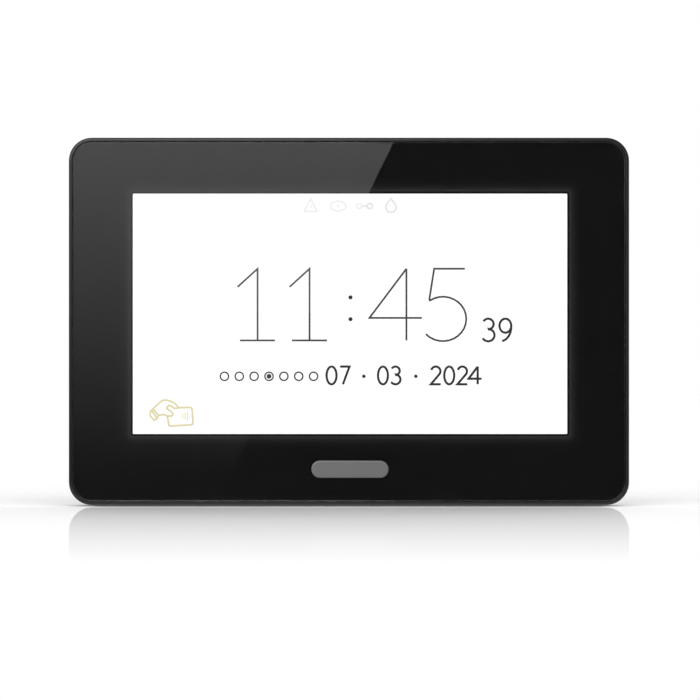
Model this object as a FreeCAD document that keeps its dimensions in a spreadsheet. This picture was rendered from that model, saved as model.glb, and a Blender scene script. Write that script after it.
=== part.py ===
import FreeCAD, Part

import math
import os
import re

import Sketcher

# A wall-mounted alarm keypad with a seven inch touch screen, built piece by piece.
# X runs to the right as seen from the front, Z runs up and the wall is the plane Y = 0.
# The keypad faces -Y. Depths are given as a stand-off: the distance in front of the wall,
# so a stand-off of 5 is the plane Y = -5. The origin is the middle of the wall base's back.

# Driving sizes, in millimetres.
SIZES = {
    # outer form
    "panel_width": 196.0, "panel_height": 128.5, "corner_radius": 8.0, "part_clearance": 0.6,
    "shell_wall": 2.0, "rim_width": 1.25, "rim_drop": 0.25, "rim_round": 0.9, "back_round": 0.6,
    "rim_inner_round": 0.2,
    "parting_gap": 0.3, "seat_thickness": 1.75,
    # glass stack
    "glass_thickness": 1.8, "glass_gap": 0.15, "glass_bevel": 0.3,
    "film_thickness": 0.15, "film_margin": 0.2, "bond_thickness": 0.3, "bond_margin": 0.4,
    "bond_width": 7.8, "window_width": 152.0, "window_height": 84.1,
    "window_shift": 0.37, "window_rise": 2.66, "window_radius": 0.3,
    # badge
    "badge_length": 27.0, "badge_height": 6.0, "badge_thickness": 0.2, "badge_rise": -51.7,
    "badge_flat": 0.1,
    # display module
    "module_width": 165.0, "module_height": 100.0, "module_depth": 5.7, "module_gap": 0.5,
    "sensor_thickness": 0.7, "gasket_thickness": 0.5, "gasket_margin": 0.5, "gasket_lip": 1.5,
    "sheet_steel": 0.3, "bezel_lip": 1.2, "tray_gap": 0.05, "tray_wall": 1.0, "tray_floor": 0.6,
    "cell_thickness": 1.3, "sheets_thickness": 0.6, "guide_thickness": 2.4, "pocket_gap": 0.2,
    "strip_height": 2.2, "strip_inset": 6.0, "led_count": 12.0, "led_width": 3.0,
    "led_height": 1.0,
    # bracket and its posts
    "bracket_thickness": 1.0, "bracket_width": 184.0, "bracket_top": 53.4,
    "bracket_bottom": -48.6, "bracket_radius": 3.0, "post_radius": 2.9, "post_x": 88.5,
    "post_z": 40.0, "thread_radius": 1.1, "thread_gap": 0.02, "thread_length": 5.0,
    "head_radius": 2.2, "head_height": 1.5, "cross_width": 0.6, "cross_length": 2.4,
    "cross_depth": 0.8,
    # circuit board
    "standoff_height": 1.65, "standoff_radius": 2.6, "board_thickness": 1.6,
    "board_width": 150.0, "board_height": 90.0, "board_radius": 2.0, "standoff_x": 70.0,
    "standoff_z": 40.5, "board_screw_head": 1.4,
    # flat flexible cables
    "flex_thickness": 0.2, "lcd_flex_width": 30.0, "touch_flex_width": 16.0,
    "flex_reach": 1.8, "flex_lap": 2.0, "flex_seat": 0.9, "notch_gap": 3.0,
    # wall base
    "base_depth": 7.7, "base_inset": 3.0, "base_floor": 2.5, "base_wall": 2.0,
    "chin_drop": 0.4, "chin_width": 161.0, "chin_ease": 9.0, "recess_depth": 0.8,
    "recess_margin": 6.0, "rib_width": 1.4, "window_frame": 3.0, "cable_width": 56.0,
    "cable_height": 34.0, "cable_rise": -1.0, "cable_radius": 3.0, "screw_span_x": 120.0,
    "screw_span_z": 80.0, "screw_slot_radius": 2.2, "screw_slot_length": 8.4,
    "screw_boss_radius": 7.5, "knockout_width": 16.0, "knockout_skin": 0.8,
    "label_width": 46.0, "label_height": 20.0, "label_x": 60.0, "label_z": -3.0,
    "label_thickness": 0.1, "label_border": 1.0, "rib_z": 26.0,
    # top pivots
    "pivot_x": 60.0, "pivot_width": 14.0, "pivot_radius": 0.8, "pivot_gap": 0.05,
    "pivot_end_gap": 0.5, "pivot_sink": 1.65, "pivot_setback": 1.2, "hook_front": 0.8,
    "web_front": 0.68, "web_back": 0.34,
    # bottom catches
    "catch_x": 55.0, "catch_width": 8.0, "catch_thickness": 1.8, "catch_lift": 0.65,
    "barb_length": 1.9, "barb_drop": 1.8, "barb_lead": 1.2, "ledge_setback": 1.0,
    "catch_gap": 0.05, "catch_side_gap": 0.2, "ledge_length": 1.5, "ledge_play": 0.2, "ledge_width": 16.0,
    "ledge_drop": 0.8, "release_width": 7.0, "release_height": 2.4, "release_stand": 3.6,
    # tamper switch
    "tamper_x": -58.0, "tamper_z": 28.0, "switch_side": 6.4, "switch_height": 2.5,
    "plunger_radius": 1.4, "plunger_gap": 0.05, "plunger_sunk": 1.2, "collar_radius": 2.3,
    "collar_thickness": 0.7, "collar_stand": 1.9, "tamper_hole": 3.2, "tamper_boss": 5.5,
    "spring_wire": 0.4, "spring_turns": 4.0, "spring_gap": 0.12, "plunger_press": 1.0,
    # memory card
    "card_x": 66.0, "card_z": 20.0, "card_width": 11.0, "card_length": 15.0,
    "card_thickness": 0.8, "card_gap": 0.08, "card_out": 2.5, "socket_side": 14.0,
    "socket_height": 1.5, "socket_skin": 0.35,
    # cable terminals
    "plug_width": 20.0, "plug_depth": 4.4, "plug_length": 12.0, "plug_entry": 4.5,
    "plug_top": -19.5, "plug_gap": 0.1, "header_wall": 0.6, "header_floor": 4.4,
    "terminal_pitch": 4.8, "terminal_count": 4.0, "wire_hole": 1.3, "wire_depth": 5.0,
    "pin_side": 0.9, "pin_gap": 0.15, "screw_spot": 1.5, "screw_depth": 0.8,
    # speaker and reader antenna
    "speaker_x": 20.0, "speaker_length": 26.0, "speaker_height": 10.5, "speaker_depth": 4.2,
    "speaker_bottom": -60.5, "speaker_wall": 0.8, "cone_thickness": 0.3, "magnet_radius": 3.6,
    "magnet_height": 2.2, "sound_slots": 6.0, "sound_slot_width": 1.2,
    "sound_slot_length": 2.6, "sound_slot_pitch": 3.2, "antenna_length": 66.0,
    "antenna_height": 10.0, "antenna_x": -40.0, "antenna_z": -54.8, "antenna_track": 2.6,
    "antenna_thickness": 0.3,
}

# Parts soldered to the back of the board: middle x and z, width, height, and how far each
# one stands off the board.
BOARD_PARTS = {
    "processor": (-8.0, 6.0, 17.0, 17.0, 1.4),
    "memory_chip_upper": (-30.0, 13.0, 9.0, 13.0, 1.1),
    "memory_chip_lower": (-30.0, -3.0, 9.0, 13.0, 1.1),
    "reader_chip": (-42.0, -34.0, 7.0, 7.0, 1.0),
    "audio_chip": (46.0, -22.0, 5.0, 5.0, 0.9),
    "shield_can": (30.0, 26.0, 24.0, 18.0, 2.4),
    "power_chip": (-50.0, -14.0, 6.0, 5.0, 1.5),
    "inductor_left": (-62.0, -14.0, 7.0, 7.0, 3.0),
    "inductor_right": (-50.0, -4.0, 7.0, 7.0, 3.0),
    "lcd_connector": (0.4, -38.5, 34.0, 5.0, 2.0),
    "touch_connector": (0.4, 38.5, 20.0, 5.0, 2.0),
    "antenna_connector": (-55.0, -40.0, 5.0, 4.0, 2.4),
    "speaker_connector": (25.0, -40.0, 5.0, 4.0, 2.4),
    "crystal": (8.0, 16.0, 3.2, 2.5, 0.8),
}

# Round parts on the back of the board: middle x and z, radius and height.
BOARD_CANS = {
    "bulk_capacitor_1": (-68.0, -26.0, 3.15, 5.2),
    "bulk_capacitor_2": (-60.0, -26.0, 3.15, 5.2),
    "bulk_capacitor_3": (-52.0, -26.0, 2.5, 5.2),
    "sounder": (52.0, 0.0, 5.0, 3.2),
}

# Places worked out from the sizes. Names ending in _at are stand-offs from the wall.
PLACES = {
    "half_width": "panel_width / 2",
    "half_height": "panel_height / 2",
    "component_room": "header_depth + part_clearance",
    "header_depth": "plug_depth + 2 * plug_gap + 2 * header_wall",
    "front_stack": "film_thickness + sensor_thickness + gasket_thickness + module_depth",
    "back_stack": "bracket_thickness + standoff_height + board_thickness",
    "panel_depth": "base_floor + component_room + back_stack + front_stack + glass_thickness",
    "rim_at": "panel_depth - rim_drop",
    "frame_back_at": "base_depth + parting_gap",
    "glass_width": "panel_width - 2 * rim_width - 2 * glass_gap",
    "glass_height": "panel_height - 2 * rim_width - 2 * glass_gap",
    "glass_radius": "corner_radius - rim_width - glass_gap",
    "glass_back_at": "panel_depth - glass_thickness",
    "film_back_at": "glass_back_at - film_thickness",
    "seat_at": "film_back_at - bond_thickness",
    "seat_back_at": "seat_at - seat_thickness",
    "sensor_back_at": "film_back_at - sensor_thickness",
    "gasket_back_at": "sensor_back_at - gasket_thickness",
    "module_back_at": "gasket_back_at - module_depth",
    "lip_back_at": "gasket_back_at - sheet_steel",
    "cell_back_at": "lip_back_at - cell_thickness",
    "sheets_back_at": "cell_back_at - sheets_thickness",
    "guide_back_at": "sheets_back_at - guide_thickness",
    "bracket_back_at": "module_back_at - bracket_thickness",
    "board_front_at": "bracket_back_at - standoff_height",
    "board_back_at": "board_front_at - board_thickness",
    "tray_width": "module_width - 2 * sheet_steel - 2 * tray_gap",
    "tray_height": "module_height - 2 * sheet_steel - 2 * tray_gap",
    "cell_width": "tray_width - 2 * tray_wall - 2 * pocket_gap",
    "cell_height": "tray_height - 2 * tray_wall - 2 * pocket_gap",
    "guide_bottom": "window_rise - cell_height / 2 + strip_height",
    "module_top": "window_rise + module_height / 2",
    "module_bottom": "window_rise - module_height / 2",
    "base_width": "panel_width - 2 * base_inset",
    "base_height": "panel_height - 2 * base_inset",
    "base_radius": "corner_radius - base_inset",
    "base_edge": "half_height - base_inset",
    "pivot_at": "frame_back_at + pivot_setback",
    "pivot_rise": "half_height - pivot_sink",
    "catch_under": "base_wall + catch_lift - base_edge",
    "catch_middle": "catch_under + catch_thickness / 2",
    "ledge_front_at": "frame_back_at + ledge_setback + ledge_length",
    "barb_back_at": "ledge_front_at + ledge_play",
    "catch_reach": "barb_back_at + barb_length",
    "switch_top_at": "board_back_at - switch_height",
    "collar_top_at": "collar_stand + collar_thickness",
    "socket_back_at": "board_back_at - socket_height",
    "card_top_at": "board_back_at - socket_skin - card_gap",
    "card_right": "card_x + socket_side / 2 + card_out",
    "plug_back_at": "board_back_at - header_wall - plug_gap - plug_depth",
    "plug_front_at": "board_back_at - header_wall - plug_gap",
    "plug_bottom": "plug_top - plug_length",
    "header_top": "plug_bottom + plug_entry",
    "header_bottom": "plug_bottom - header_floor",
    "header_back_at": "board_back_at - header_depth",
    "header_half": "plug_width / 2 + plug_gap + header_wall",
    "speaker_back_at": "seat_back_at - speaker_depth",
    "speaker_middle": "speaker_bottom + speaker_height / 2",
}

DOC = FreeCAD.newDocument("wall_keypad")
SHEET = DOC.addObject("Spreadsheet::Sheet", "dims")
PIECES = []


def fill_sheet():
    """Writes every driving size to the sheet, one row each, with its name as the alias."""
    rows = dict(SIZES)
    for name, numbers in BOARD_PARTS.items():
        rows.update(zip(named(name, "x", "z", "width", "height", "tall"), numbers))
    for name, numbers in BOARD_CANS.items():
        rows.update(zip(named(name, "x", "z", "radius", "tall"), numbers))
    for row, (name, number) in enumerate(rows.items(), start=1):
        SHEET.set(f"A{row}", name)
        SHEET.set(f"B{row}", str(number))
        SHEET.setAlias(f"B{row}", name)
    DOC.recompute()
    return set(rows)


def named(piece, *endings):
    """The sheet names of one board part's sizes."""
    return [f"{piece}_{ending}" for ending in endings]


ALIASES = fill_sheet()


def bound(text):
    """An expression in plain size names, rewritten to read the sheet's cells."""

    def look_up(match):
        word = match.group(0)
        if word in PLACES:
            return f"({bound(PLACES[word])})"
        return f"dims.{word}" if word in ALIASES else word

    return re.sub(r"[a-z_][a-z_0-9]*", look_up, str(text))


def number(text):
    """The value of an expression at the sizes now in the sheet."""
    return float(SHEET.evalExpression(bound(text)))


class Piece:
    """One sub-part: a PartDesign body whose features read their sizes from the sheet."""

    def __init__(self, name):
        self.body = DOC.addObject("PartDesign::Body", name)
        self.body.Label = name
        self.body.AllowCompound = True
        PIECES.append(self.body)

    def plane(self, role):
        return [one for one in self.body.Origin.OriginFeatures if one.Role == role][0]

    def feature(self, kind, name, rotation=None, **expressions):
        """Adds a feature and binds its properties; x, y and z bind its place."""
        made = self.body.newObject(f"PartDesign::{kind}", name)
        if rotation is not None:
            made.Placement = FreeCAD.Placement(FreeCAD.Vector(), rotation)
        for key, text in expressions.items():
            path = f"Placement.Base.{key}" if key in ("x", "y", "z") else key
            made.setExpression(path, bound(text))
        return made

    def box(self, name, x, at, z, cut=False):
        """A block between two x, two stand-offs and two z values."""
        kind = "SubtractiveBox" if cut else "AdditiveBox"
        return self.feature(
            kind, name, x=x[0], y=f"-({at[1]})", z=z[0],
            Length=f"{x[1]} - ({x[0]})", Width=f"{at[1]} - ({at[0]})",
            Height=f"{z[1]} - ({z[0]})",
        )

    def block(self, name, x, z, width, height, at, cut=False):
        """A block given by its middle in x and z and its width and height."""
        return self.box(
            name, (f"{x} - ({width}) / 2", f"{x} + ({width}) / 2"), at,
            (f"{z} - ({height}) / 2", f"{z} + ({height}) / 2"), cut,
        )

    def rod(self, name, x, z, radius, at, cut=False):
        """A cylinder square to the wall."""
        kind = "SubtractiveCylinder" if cut else "AdditiveCylinder"
        turned = FreeCAD.Rotation(FreeCAD.Vector(1, 0, 0), 90)
        return self.feature(
            kind, name, turned, x=x, y=f"-({at[0]})", z=z, Radius=radius,
            Height=f"{at[1]} - ({at[0]})",
        )

    def bar(self, name, x, at, z, radius, cut=False):
        """A cylinder along X between two x values."""
        kind = "SubtractiveCylinder" if cut else "AdditiveCylinder"
        turned = FreeCAD.Rotation(FreeCAD.Vector(0, 1, 0), 90)
        return self.feature(
            kind, name, turned, x=x[0], y=f"-({at})", z=z, Radius=radius,
            Height=f"{x[1]} - ({x[0]})",
        )

    def sketch(self, name, at, x="0", z="0"):
        """A sketch parallel to the wall, its own +Y being the keypad's +Z."""
        drawn = self.body.newObject("Sketcher::SketchObject", name)
        drawn.AttachmentSupport = (self.plane("XZ_Plane"), [""])
        drawn.MapMode = "FlatFace"
        drawn.setExpression("AttachmentOffset.Base.x", bound(x))
        drawn.setExpression("AttachmentOffset.Base.y", bound(z))
        drawn.setExpression("AttachmentOffset.Base.z", bound(at))
        return drawn

    def rounded(self, name, width, height, radius, at, x="0", z="0", cut=False):
        """A rounded rectangle carried from one stand-off to the next, added or cut."""
        drawn = self.sketch(f"{name}_outline", at[1] if cut else at[0], x, z)
        draw_rounded_rectangle(drawn, width, height, radius)
        made = self.body.newObject(f"PartDesign::{'Pocket' if cut else 'Pad'}", name)
        made.Profile = drawn
        made.setExpression("Length", bound(f"{at[1]} - ({at[0]})"))
        return made

    def polygon(self, name, corners, at):
        """A closed outline through corners, carried from one stand-off to the next."""
        drawn = self.sketch(f"{name}_outline", at[0])
        draw_polygon(drawn, corners)
        made = self.body.newObject("PartDesign::Pad", name)
        made.Profile = drawn
        made.setExpression("Length", bound(f"{at[1]} - ({at[0]})"))
        return made

    def side_profile(self, name, corners, x, width):
        """A closed outline of (stand-off, z) corners, carried along X about a middle."""
        drawn = self.body.newObject("Sketcher::SketchObject", f"{name}_outline")
        drawn.AttachmentSupport = (self.plane("YZ_Plane"), [""])
        drawn.MapMode = "FlatFace"
        drawn.setExpression("AttachmentOffset.Base.z", bound(f"{x} - ({width}) / 2"))
        draw_polygon(drawn, [(f"-({at})", z) for at, z in corners])
        made = self.body.newObject("PartDesign::Pad", name)
        made.Profile = drawn
        made.setExpression("Length", bound(width))
        return made

    def edges(self, wanted):
        """The names of the tip's edges that a test picks out."""
        DOC.recompute()
        tip = self.body.Tip
        picked = [f"Edge{n}" for n, edge in enumerate(tip.Shape.Edges, 1) if wanted(edge)]
        return tip, picked

    def soften(self, kind, name, size, wanted):
        """A fillet or chamfer on the edges that a test picks out."""
        base = self.edges(wanted)
        made = self.body.newObject(f"PartDesign::{kind}", name)
        made.Base = base
        made.setExpression("Radius" if kind == "Fillet" else "Size", bound(size))
        return made


def draw_rounded_rectangle(drawn, width, height, radius):
    """Four lines and four tangent arcs about the sketch's middle."""
    half_w = number(width) / 2
    half_h = number(height) / 2
    r = number(radius)
    vector = FreeCAD.Vector
    turns = ((1, 1, 0), (-1, 1, 1), (-1, -1, 2), (1, -1, 3))
    centres = [vector(sx * (half_w - r), sy * (half_h - r), 0) for sx, sy, _ in turns]
    arcs = []
    for centre, (_, _, quarter) in zip(centres, turns):
        circle = Part.Circle(centre, vector(0, 0, 1), r)
        arc = Part.ArcOfCircle(circle, quarter * math.pi / 2, (quarter + 1) * math.pi / 2)
        arcs.append(drawn.addGeometry(arc, False))
    for n, arc in enumerate(arcs):
        ahead = arcs[(n + 1) % 4]
        ends = drawn.Geometry[arc].EndPoint, drawn.Geometry[ahead].StartPoint
        line = drawn.addGeometry(Part.LineSegment(*ends), False)
        drawn.addConstraint(Sketcher.Constraint("Tangent", arc, 2, line, 1))
        drawn.addConstraint(Sketcher.Constraint("Tangent", line, 2, ahead, 1))
        drawn.addConstraint(
            Sketcher.Constraint("Horizontal" if n % 2 == 0 else "Vertical", line)
        )
        if n:
            drawn.addConstraint(Sketcher.Constraint("Equal", arcs[0], arc))
    spans = (("radius", "Radius", (arcs[0], r), radius),
             ("half_width", "DistanceX", (-1, 1, arcs[0], 1, half_w), f"({width}) / 2"),
             ("half_height", "DistanceY", (-1, 1, arcs[0], 2, half_h), f"({height}) / 2"),
             ("left", "DistanceX", (arcs[1], 2, -1, 1, half_w), f"({width}) / 2"),
             ("bottom", "DistanceY", (arcs[2], 2, -1, 1, half_h), f"({height}) / 2"))
    for alias, kind, parts, text in spans:
        at = drawn.addConstraint(Sketcher.Constraint(kind, *parts))
        drawn.renameConstraint(at, alias)
        drawn.setExpression(f"Constraints.{alias}", bound(text))


def draw_polygon(drawn, corners):
    """Straight lines through corners, each corner held by its two distances."""
    places = [FreeCAD.Vector(number(a), number(b), 0) for a, b in corners]
    lines = []
    for n, place in enumerate(places):
        ahead = places[(n + 1) % len(places)]
        lines.append(drawn.addGeometry(Part.LineSegment(place, ahead), False))
    for n, line in enumerate(lines):
        drawn.addConstraint(
            Sketcher.Constraint("Coincident", line, 2, lines[(n + 1) % len(lines)], 1)
        )
        for axis, text, length in (("X", corners[n][0], places[n].x),
                                   ("Y", corners[n][1], places[n].y)):
            kind = f"Distance{axis}"
            at = drawn.addConstraint(Sketcher.Constraint(kind, -1, 1, line, 1, length))
            drawn.renameConstraint(at, f"corner_{n}_{axis.lower()}")
            drawn.setExpression(f"Constraints.corner_{n}_{axis.lower()}", bound(text))


def lies_at(edge, text):
    """True for an edge that lies wholly in the plane at a stand-off."""
    box = edge.BoundBox
    plane = -number(text)
    return abs(box.YMin - plane) < 1e-4 and abs(box.YMax - plane) < 1e-4


def stays_inside(edge, inset):
    """True for an edge that keeps at least an inset away from the front frame's outline."""
    box = edge.BoundBox
    room = 0.02 - number(inset)
    side = max(abs(box.XMin), abs(box.XMax)) - number("half_width")
    rise = max(abs(box.ZMin), abs(box.ZMax)) - number("half_height")
    return side < room and rise < room


def both_sides(text):
    """A distance to the right of the middle and the same distance to the left."""
    return ((f"{text}", "right"), (f"-({text})", "left"))


def make_front_frame():
    piece = Piece("front_frame")
    piece.rounded("shell", "panel_width", "panel_height", "corner_radius",
                  ("frame_back_at", "rim_at"))
    piece.soften("Fillet", "rim_edge", "rim_round", lambda edge: lies_at(edge, "rim_at"))
    piece.soften("Fillet", "back_edge", "back_round",
                 lambda edge: lies_at(edge, "frame_back_at"))
    piece.rounded("glass_pocket", "glass_width + 2 * glass_gap", "glass_height + 2 * glass_gap",
                  "corner_radius - rim_width", ("seat_at", "panel_depth"), cut=True)
    piece.soften("Fillet", "rim_inner_edge", "rim_inner_round",
                 lambda edge: lies_at(edge, "rim_at") and stays_inside(edge, "rim_width"))
    piece.rounded("cavity", "panel_width - 2 * shell_wall", "panel_height - 2 * shell_wall",
                  "corner_radius - shell_wall", ("0", "seat_back_at"), cut=True)
    piece.block("module_opening", "window_shift", "window_rise",
                "module_width + 2 * module_gap", "module_height + 2 * module_gap",
                ("module_back_at", "panel_depth"), cut=True)
    piece.box("tail_notch", ("window_shift - touch_flex_width / 2 - module_gap",
                             "window_shift + touch_flex_width / 2 + module_gap"),
              ("module_back_at", "film_back_at"),
              ("window_rise", "module_top + notch_gap"), cut=True)
    for x, side in both_sides("pivot_x"):
        span = "pivot_width / 2 + pivot_end_gap"
        piece.bar(f"pivot_groove_{side}", (f"{x} - ({span})", f"{x} + {span}"), "pivot_at",
                  "pivot_rise", "pivot_radius + pivot_gap", cut=True)
    for x, side in both_sides("catch_x"):
        piece.block(f"catch_ledge_{side}", x, "(catch_under - ledge_drop - half_height) / 2",
                    "ledge_width",
                    "catch_under - ledge_drop + half_height - shell_wall",
                    ("ledge_front_at - ledge_length", "ledge_front_at"))
    for x, side in both_sides("post_x"):
        for level, z in (("upper", "post_z"), ("middle", "0"), ("lower", "-post_z")):
            name = f"{level}_{side}"
            piece.rod(f"post_{name}", x, z, "post_radius",
                      ("module_back_at", "seat_back_at + seat_thickness / 2"))
            piece.rod(f"post_hole_{name}", x, z, "thread_radius + thread_gap",
                      ("module_back_at", "module_back_at + thread_length"), cut=True)
    count = int(number("sound_slots"))
    for n in range(count):
        offset = f"speaker_x + ({n} - (sound_slots - 1) / 2) * sound_slot_pitch"
        piece.box(f"sound_slot_{n + 1}",
                  (f"{offset} - sound_slot_width / 2", f"{offset} + sound_slot_width / 2"),
                  ("frame_back_at + shell_wall",
                   "frame_back_at + shell_wall + sound_slot_length"),
                  ("-half_height - shell_wall", "shell_wall - half_height"), cut=True)


def make_glass_stack():
    glass = Piece("cover_glass")
    glass.rounded("sheet", "glass_width", "glass_height", "glass_radius",
                  ("glass_back_at", "panel_depth"))
    glass.soften("Chamfer", "bevel", "glass_bevel", lambda edge: lies_at(edge, "panel_depth"))

    film = Piece("mask_film")
    film.rounded("film", "glass_width - 2 * film_margin", "glass_height - 2 * film_margin",
                 "glass_radius - film_margin", ("film_back_at", "glass_back_at"))
    film.rounded("clear_window", "window_width", "window_height", "window_radius",
                 ("film_back_at", "glass_back_at"), "window_shift", "window_rise", cut=True)

    bond = Piece("glass_adhesive")
    bond.rounded("tape", "glass_width - 2 * bond_margin", "glass_height - 2 * bond_margin",
                 "glass_radius - bond_margin", ("seat_at", "film_back_at"))
    bond.rounded("inside", "glass_width - 2 * bond_margin - 2 * bond_width",
                 "glass_height - 2 * bond_margin - 2 * bond_width", "bond_margin",
                 ("seat_at", "film_back_at"), cut=True)

    badge = Piece("badge")
    badge.rounded("pill", "badge_length", "badge_height", "(badge_height - badge_flat) / 2",
                  ("panel_depth", "panel_depth + badge_thickness"), "window_shift",
                  "badge_rise")
    badge.soften("Chamfer", "pill_edge", "badge_thickness / 2",
                 lambda edge: lies_at(edge, "panel_depth + badge_thickness"))


def make_display():
    """The touch sensor and the display module, from the front to the back."""
    middle = ("window_shift", "window_rise")
    sensor = Piece("touch_sensor")
    sensor.block("sensor", *middle, "module_width", "module_height",
                 ("sensor_back_at", "film_back_at"))

    gasket = Piece("display_gasket")
    around = ("gasket_back_at", "sensor_back_at")
    gasket.block("foam", *middle, "module_width - 2 * gasket_margin",
                 "module_height - 2 * gasket_margin", around)
    gasket.block("inside", *middle, "window_width + 2 * gasket_lip",
                 "window_height + 2 * gasket_lip", around, cut=True)

    bezel = Piece("display_bezel")
    bezel.block("sheet", *middle, "module_width", "module_height",
                ("module_back_at + sheet_steel", "gasket_back_at"))
    bezel.block("inside", *middle, "module_width - 2 * sheet_steel",
                "module_height - 2 * sheet_steel",
                ("module_back_at", "lip_back_at"), cut=True)
    bezel.block("viewing_hole", *middle, "window_width + 2 * bezel_lip",
                "window_height + 2 * bezel_lip", ("lip_back_at", "gasket_back_at"), cut=True)

    tray = Piece("display_tray")
    tray.block("tray", *middle, "tray_width", "tray_height", ("module_back_at", "lip_back_at"))
    tray.block("pocket", *middle, "cell_width + 2 * pocket_gap", "cell_height + 2 * pocket_gap",
               ("guide_back_at", "lip_back_at"), cut=True)

    cell = Piece("display_cell")
    cell.block("cell", *middle, "cell_width", "cell_height", ("cell_back_at", "lip_back_at"))

    sheets = Piece("diffuser_sheets")
    sheets.block("sheets", *middle, "cell_width", "cell_height",
                 ("sheets_back_at", "cell_back_at"))

    guide = Piece("light_guide")
    guide.box("guide", ("window_shift - cell_width / 2", "window_shift + cell_width / 2"),
              ("guide_back_at", "sheets_back_at"),
              ("guide_bottom", "window_rise + cell_height / 2"))

    strip = Piece("led_strip")
    wide = "cell_width / 2 - strip_inset"
    strip.box("strip", (f"window_shift - ({wide})", f"window_shift + {wide}"),
              ("guide_back_at", "guide_back_at + flex_thickness"),
              ("window_rise - cell_height / 2", "guide_bottom"))
    chips = Piece("backlight_leds")
    for n in range(int(number("led_count"))):
        x = f"window_shift + ({n} - (led_count - 1) / 2) * (2 * ({wide})) / led_count"
        chips.box(f"led_{n + 1}", (f"{x} - led_width / 2", f"{x} + led_width / 2"),
                  ("guide_back_at + flex_thickness", "sheets_back_at - flex_thickness"),
                  ("guide_bottom - led_height", "guide_bottom"))


def make_bracket():
    bracket = Piece("board_bracket")
    top, bottom = "bracket_top", "bracket_bottom"
    bracket.rounded("plate", "bracket_width", f"{top} - ({bottom})", "bracket_radius",
                    ("bracket_back_at", "module_back_at"), "0", f"({top} + {bottom}) / 2")
    screws = Piece("bracket_screws")
    for x, side in both_sides("post_x"):
        for level, z in (("upper", "post_z"), ("middle", "0"), ("lower", "-post_z")):
            name = f"{level}_{side}"
            bracket.rod(f"hole_{name}", x, z, "thread_radius + thread_gap",
                        ("bracket_back_at", "module_back_at"), cut=True)
            add_screw(screws, name, x, z, "bracket_back_at", "head_height",
                      "bracket_thickness + thread_length - thread_gap")
    for x, side in both_sides("standoff_x / 2"):
        bracket.rounded(f"lightening_{side}", "standoff_x / 2", "standoff_z", "bracket_radius",
                        ("bracket_back_at", "module_back_at"), x, "0", cut=True)


def add_screw(piece, name, x, z, seat, head, length):
    """A pan head screw seated at a stand-off, its shank towards the front."""
    piece.rod(f"shank_{name}", x, z, "thread_radius", (seat, f"{seat} + {length}"))
    piece.rod(f"head_{name}", x, z, "head_radius", (f"{seat} - {head}", seat))
    depth = (f"{seat} - {head}", f"{seat} - {head} + cross_depth")
    piece.block(f"cross_level_{name}", x, z, "cross_length", "cross_width", depth, cut=True)
    piece.block(f"cross_plumb_{name}", x, z, "cross_width", "cross_length", depth, cut=True)


def make_board():
    board = Piece("main_board")
    board.rounded("laminate", "board_width", "board_height", "board_radius",
                  ("board_back_at", "board_front_at"))
    standoffs = Piece("board_standoffs")
    screws = Piece("board_screws")
    for x, side in both_sides("standoff_x"):
        for level, z in (("upper", "standoff_z"), ("lower", "-standoff_z")):
            name = f"{level}_{side}"
            hole = "thread_radius + thread_gap"
            board.rod(f"hole_{name}", x, z, hole, ("board_back_at", "board_front_at"), cut=True)
            standoffs.rod(f"standoff_{name}", x, z, "standoff_radius",
                          ("board_front_at", "bracket_back_at"))
            standoffs.rod(f"bore_{name}", x, z, hole, ("board_front_at", "bracket_back_at"),
                          cut=True)
            add_screw(screws, name, x, z, "board_back_at", "board_screw_head",
                      "board_thickness + standoff_height - thread_gap")
    groups = {}
    for name in BOARD_PARTS:
        family = re.sub(r"_(upper|lower|left|right)$", "s", name)
        family = "small_chips" if name.endswith("_chip") or name == "crystal" else family
        part = groups.setdefault(family, None) or Piece(family)
        groups[family] = part
        x, z, width, height, tall = named(name, "x", "z", "width", "height", "tall")
        part.block(name, x, z, width, height, (f"board_back_at - {tall}", "board_back_at"))
    can = groups["shield_can"]
    _, _, width, height, tall = named("shield_can", "x", "z", "width", "height", "tall")
    can.block("can_inside", "shield_can_x", "shield_can_z", f"{width} - 2 * sheet_steel",
              f"{height} - 2 * sheet_steel",
              (f"board_back_at - {tall} + sheet_steel", "board_back_at"), cut=True)
    for tail, edge, wide in (("lcd", "-1", "lcd_flex_width"), ("touch", "1", "touch_flex_width")):
        middle = f"{tail}_connector_z"
        reach = f"{middle} + ({edge}) * {tail}_connector_height / 2"
        lap = f"{reach} - ({edge}) * (flex_lap + pocket_gap)"
        low, high = (reach, lap) if edge == "-1" else (lap, reach)
        groups[f"{tail}_connector"].box(
            "flex_slot", (f"window_shift - {wide} / 2 - pocket_gap",
                          f"window_shift + {wide} / 2 + pocket_gap"),
            ("board_back_at - flex_seat - flex_thickness", "board_back_at - flex_seat"),
            (low, high), cut=True)
    capacitors = Piece("capacitors")
    sounder = Piece("sounder")
    for name in BOARD_CANS:
        x, z, radius, tall = named(name, "x", "z", "radius", "tall")
        part = sounder if name == "sounder" else capacitors
        part.rod(name, x, z, radius, (f"board_back_at - {tall}", "board_back_at"))
    sounder.rod("sound_hole", "sounder_x", "sounder_z", "sounder_radius / 4",
                ("board_back_at - sounder_tall", "board_back_at - sounder_tall / 2"), cut=True)


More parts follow.
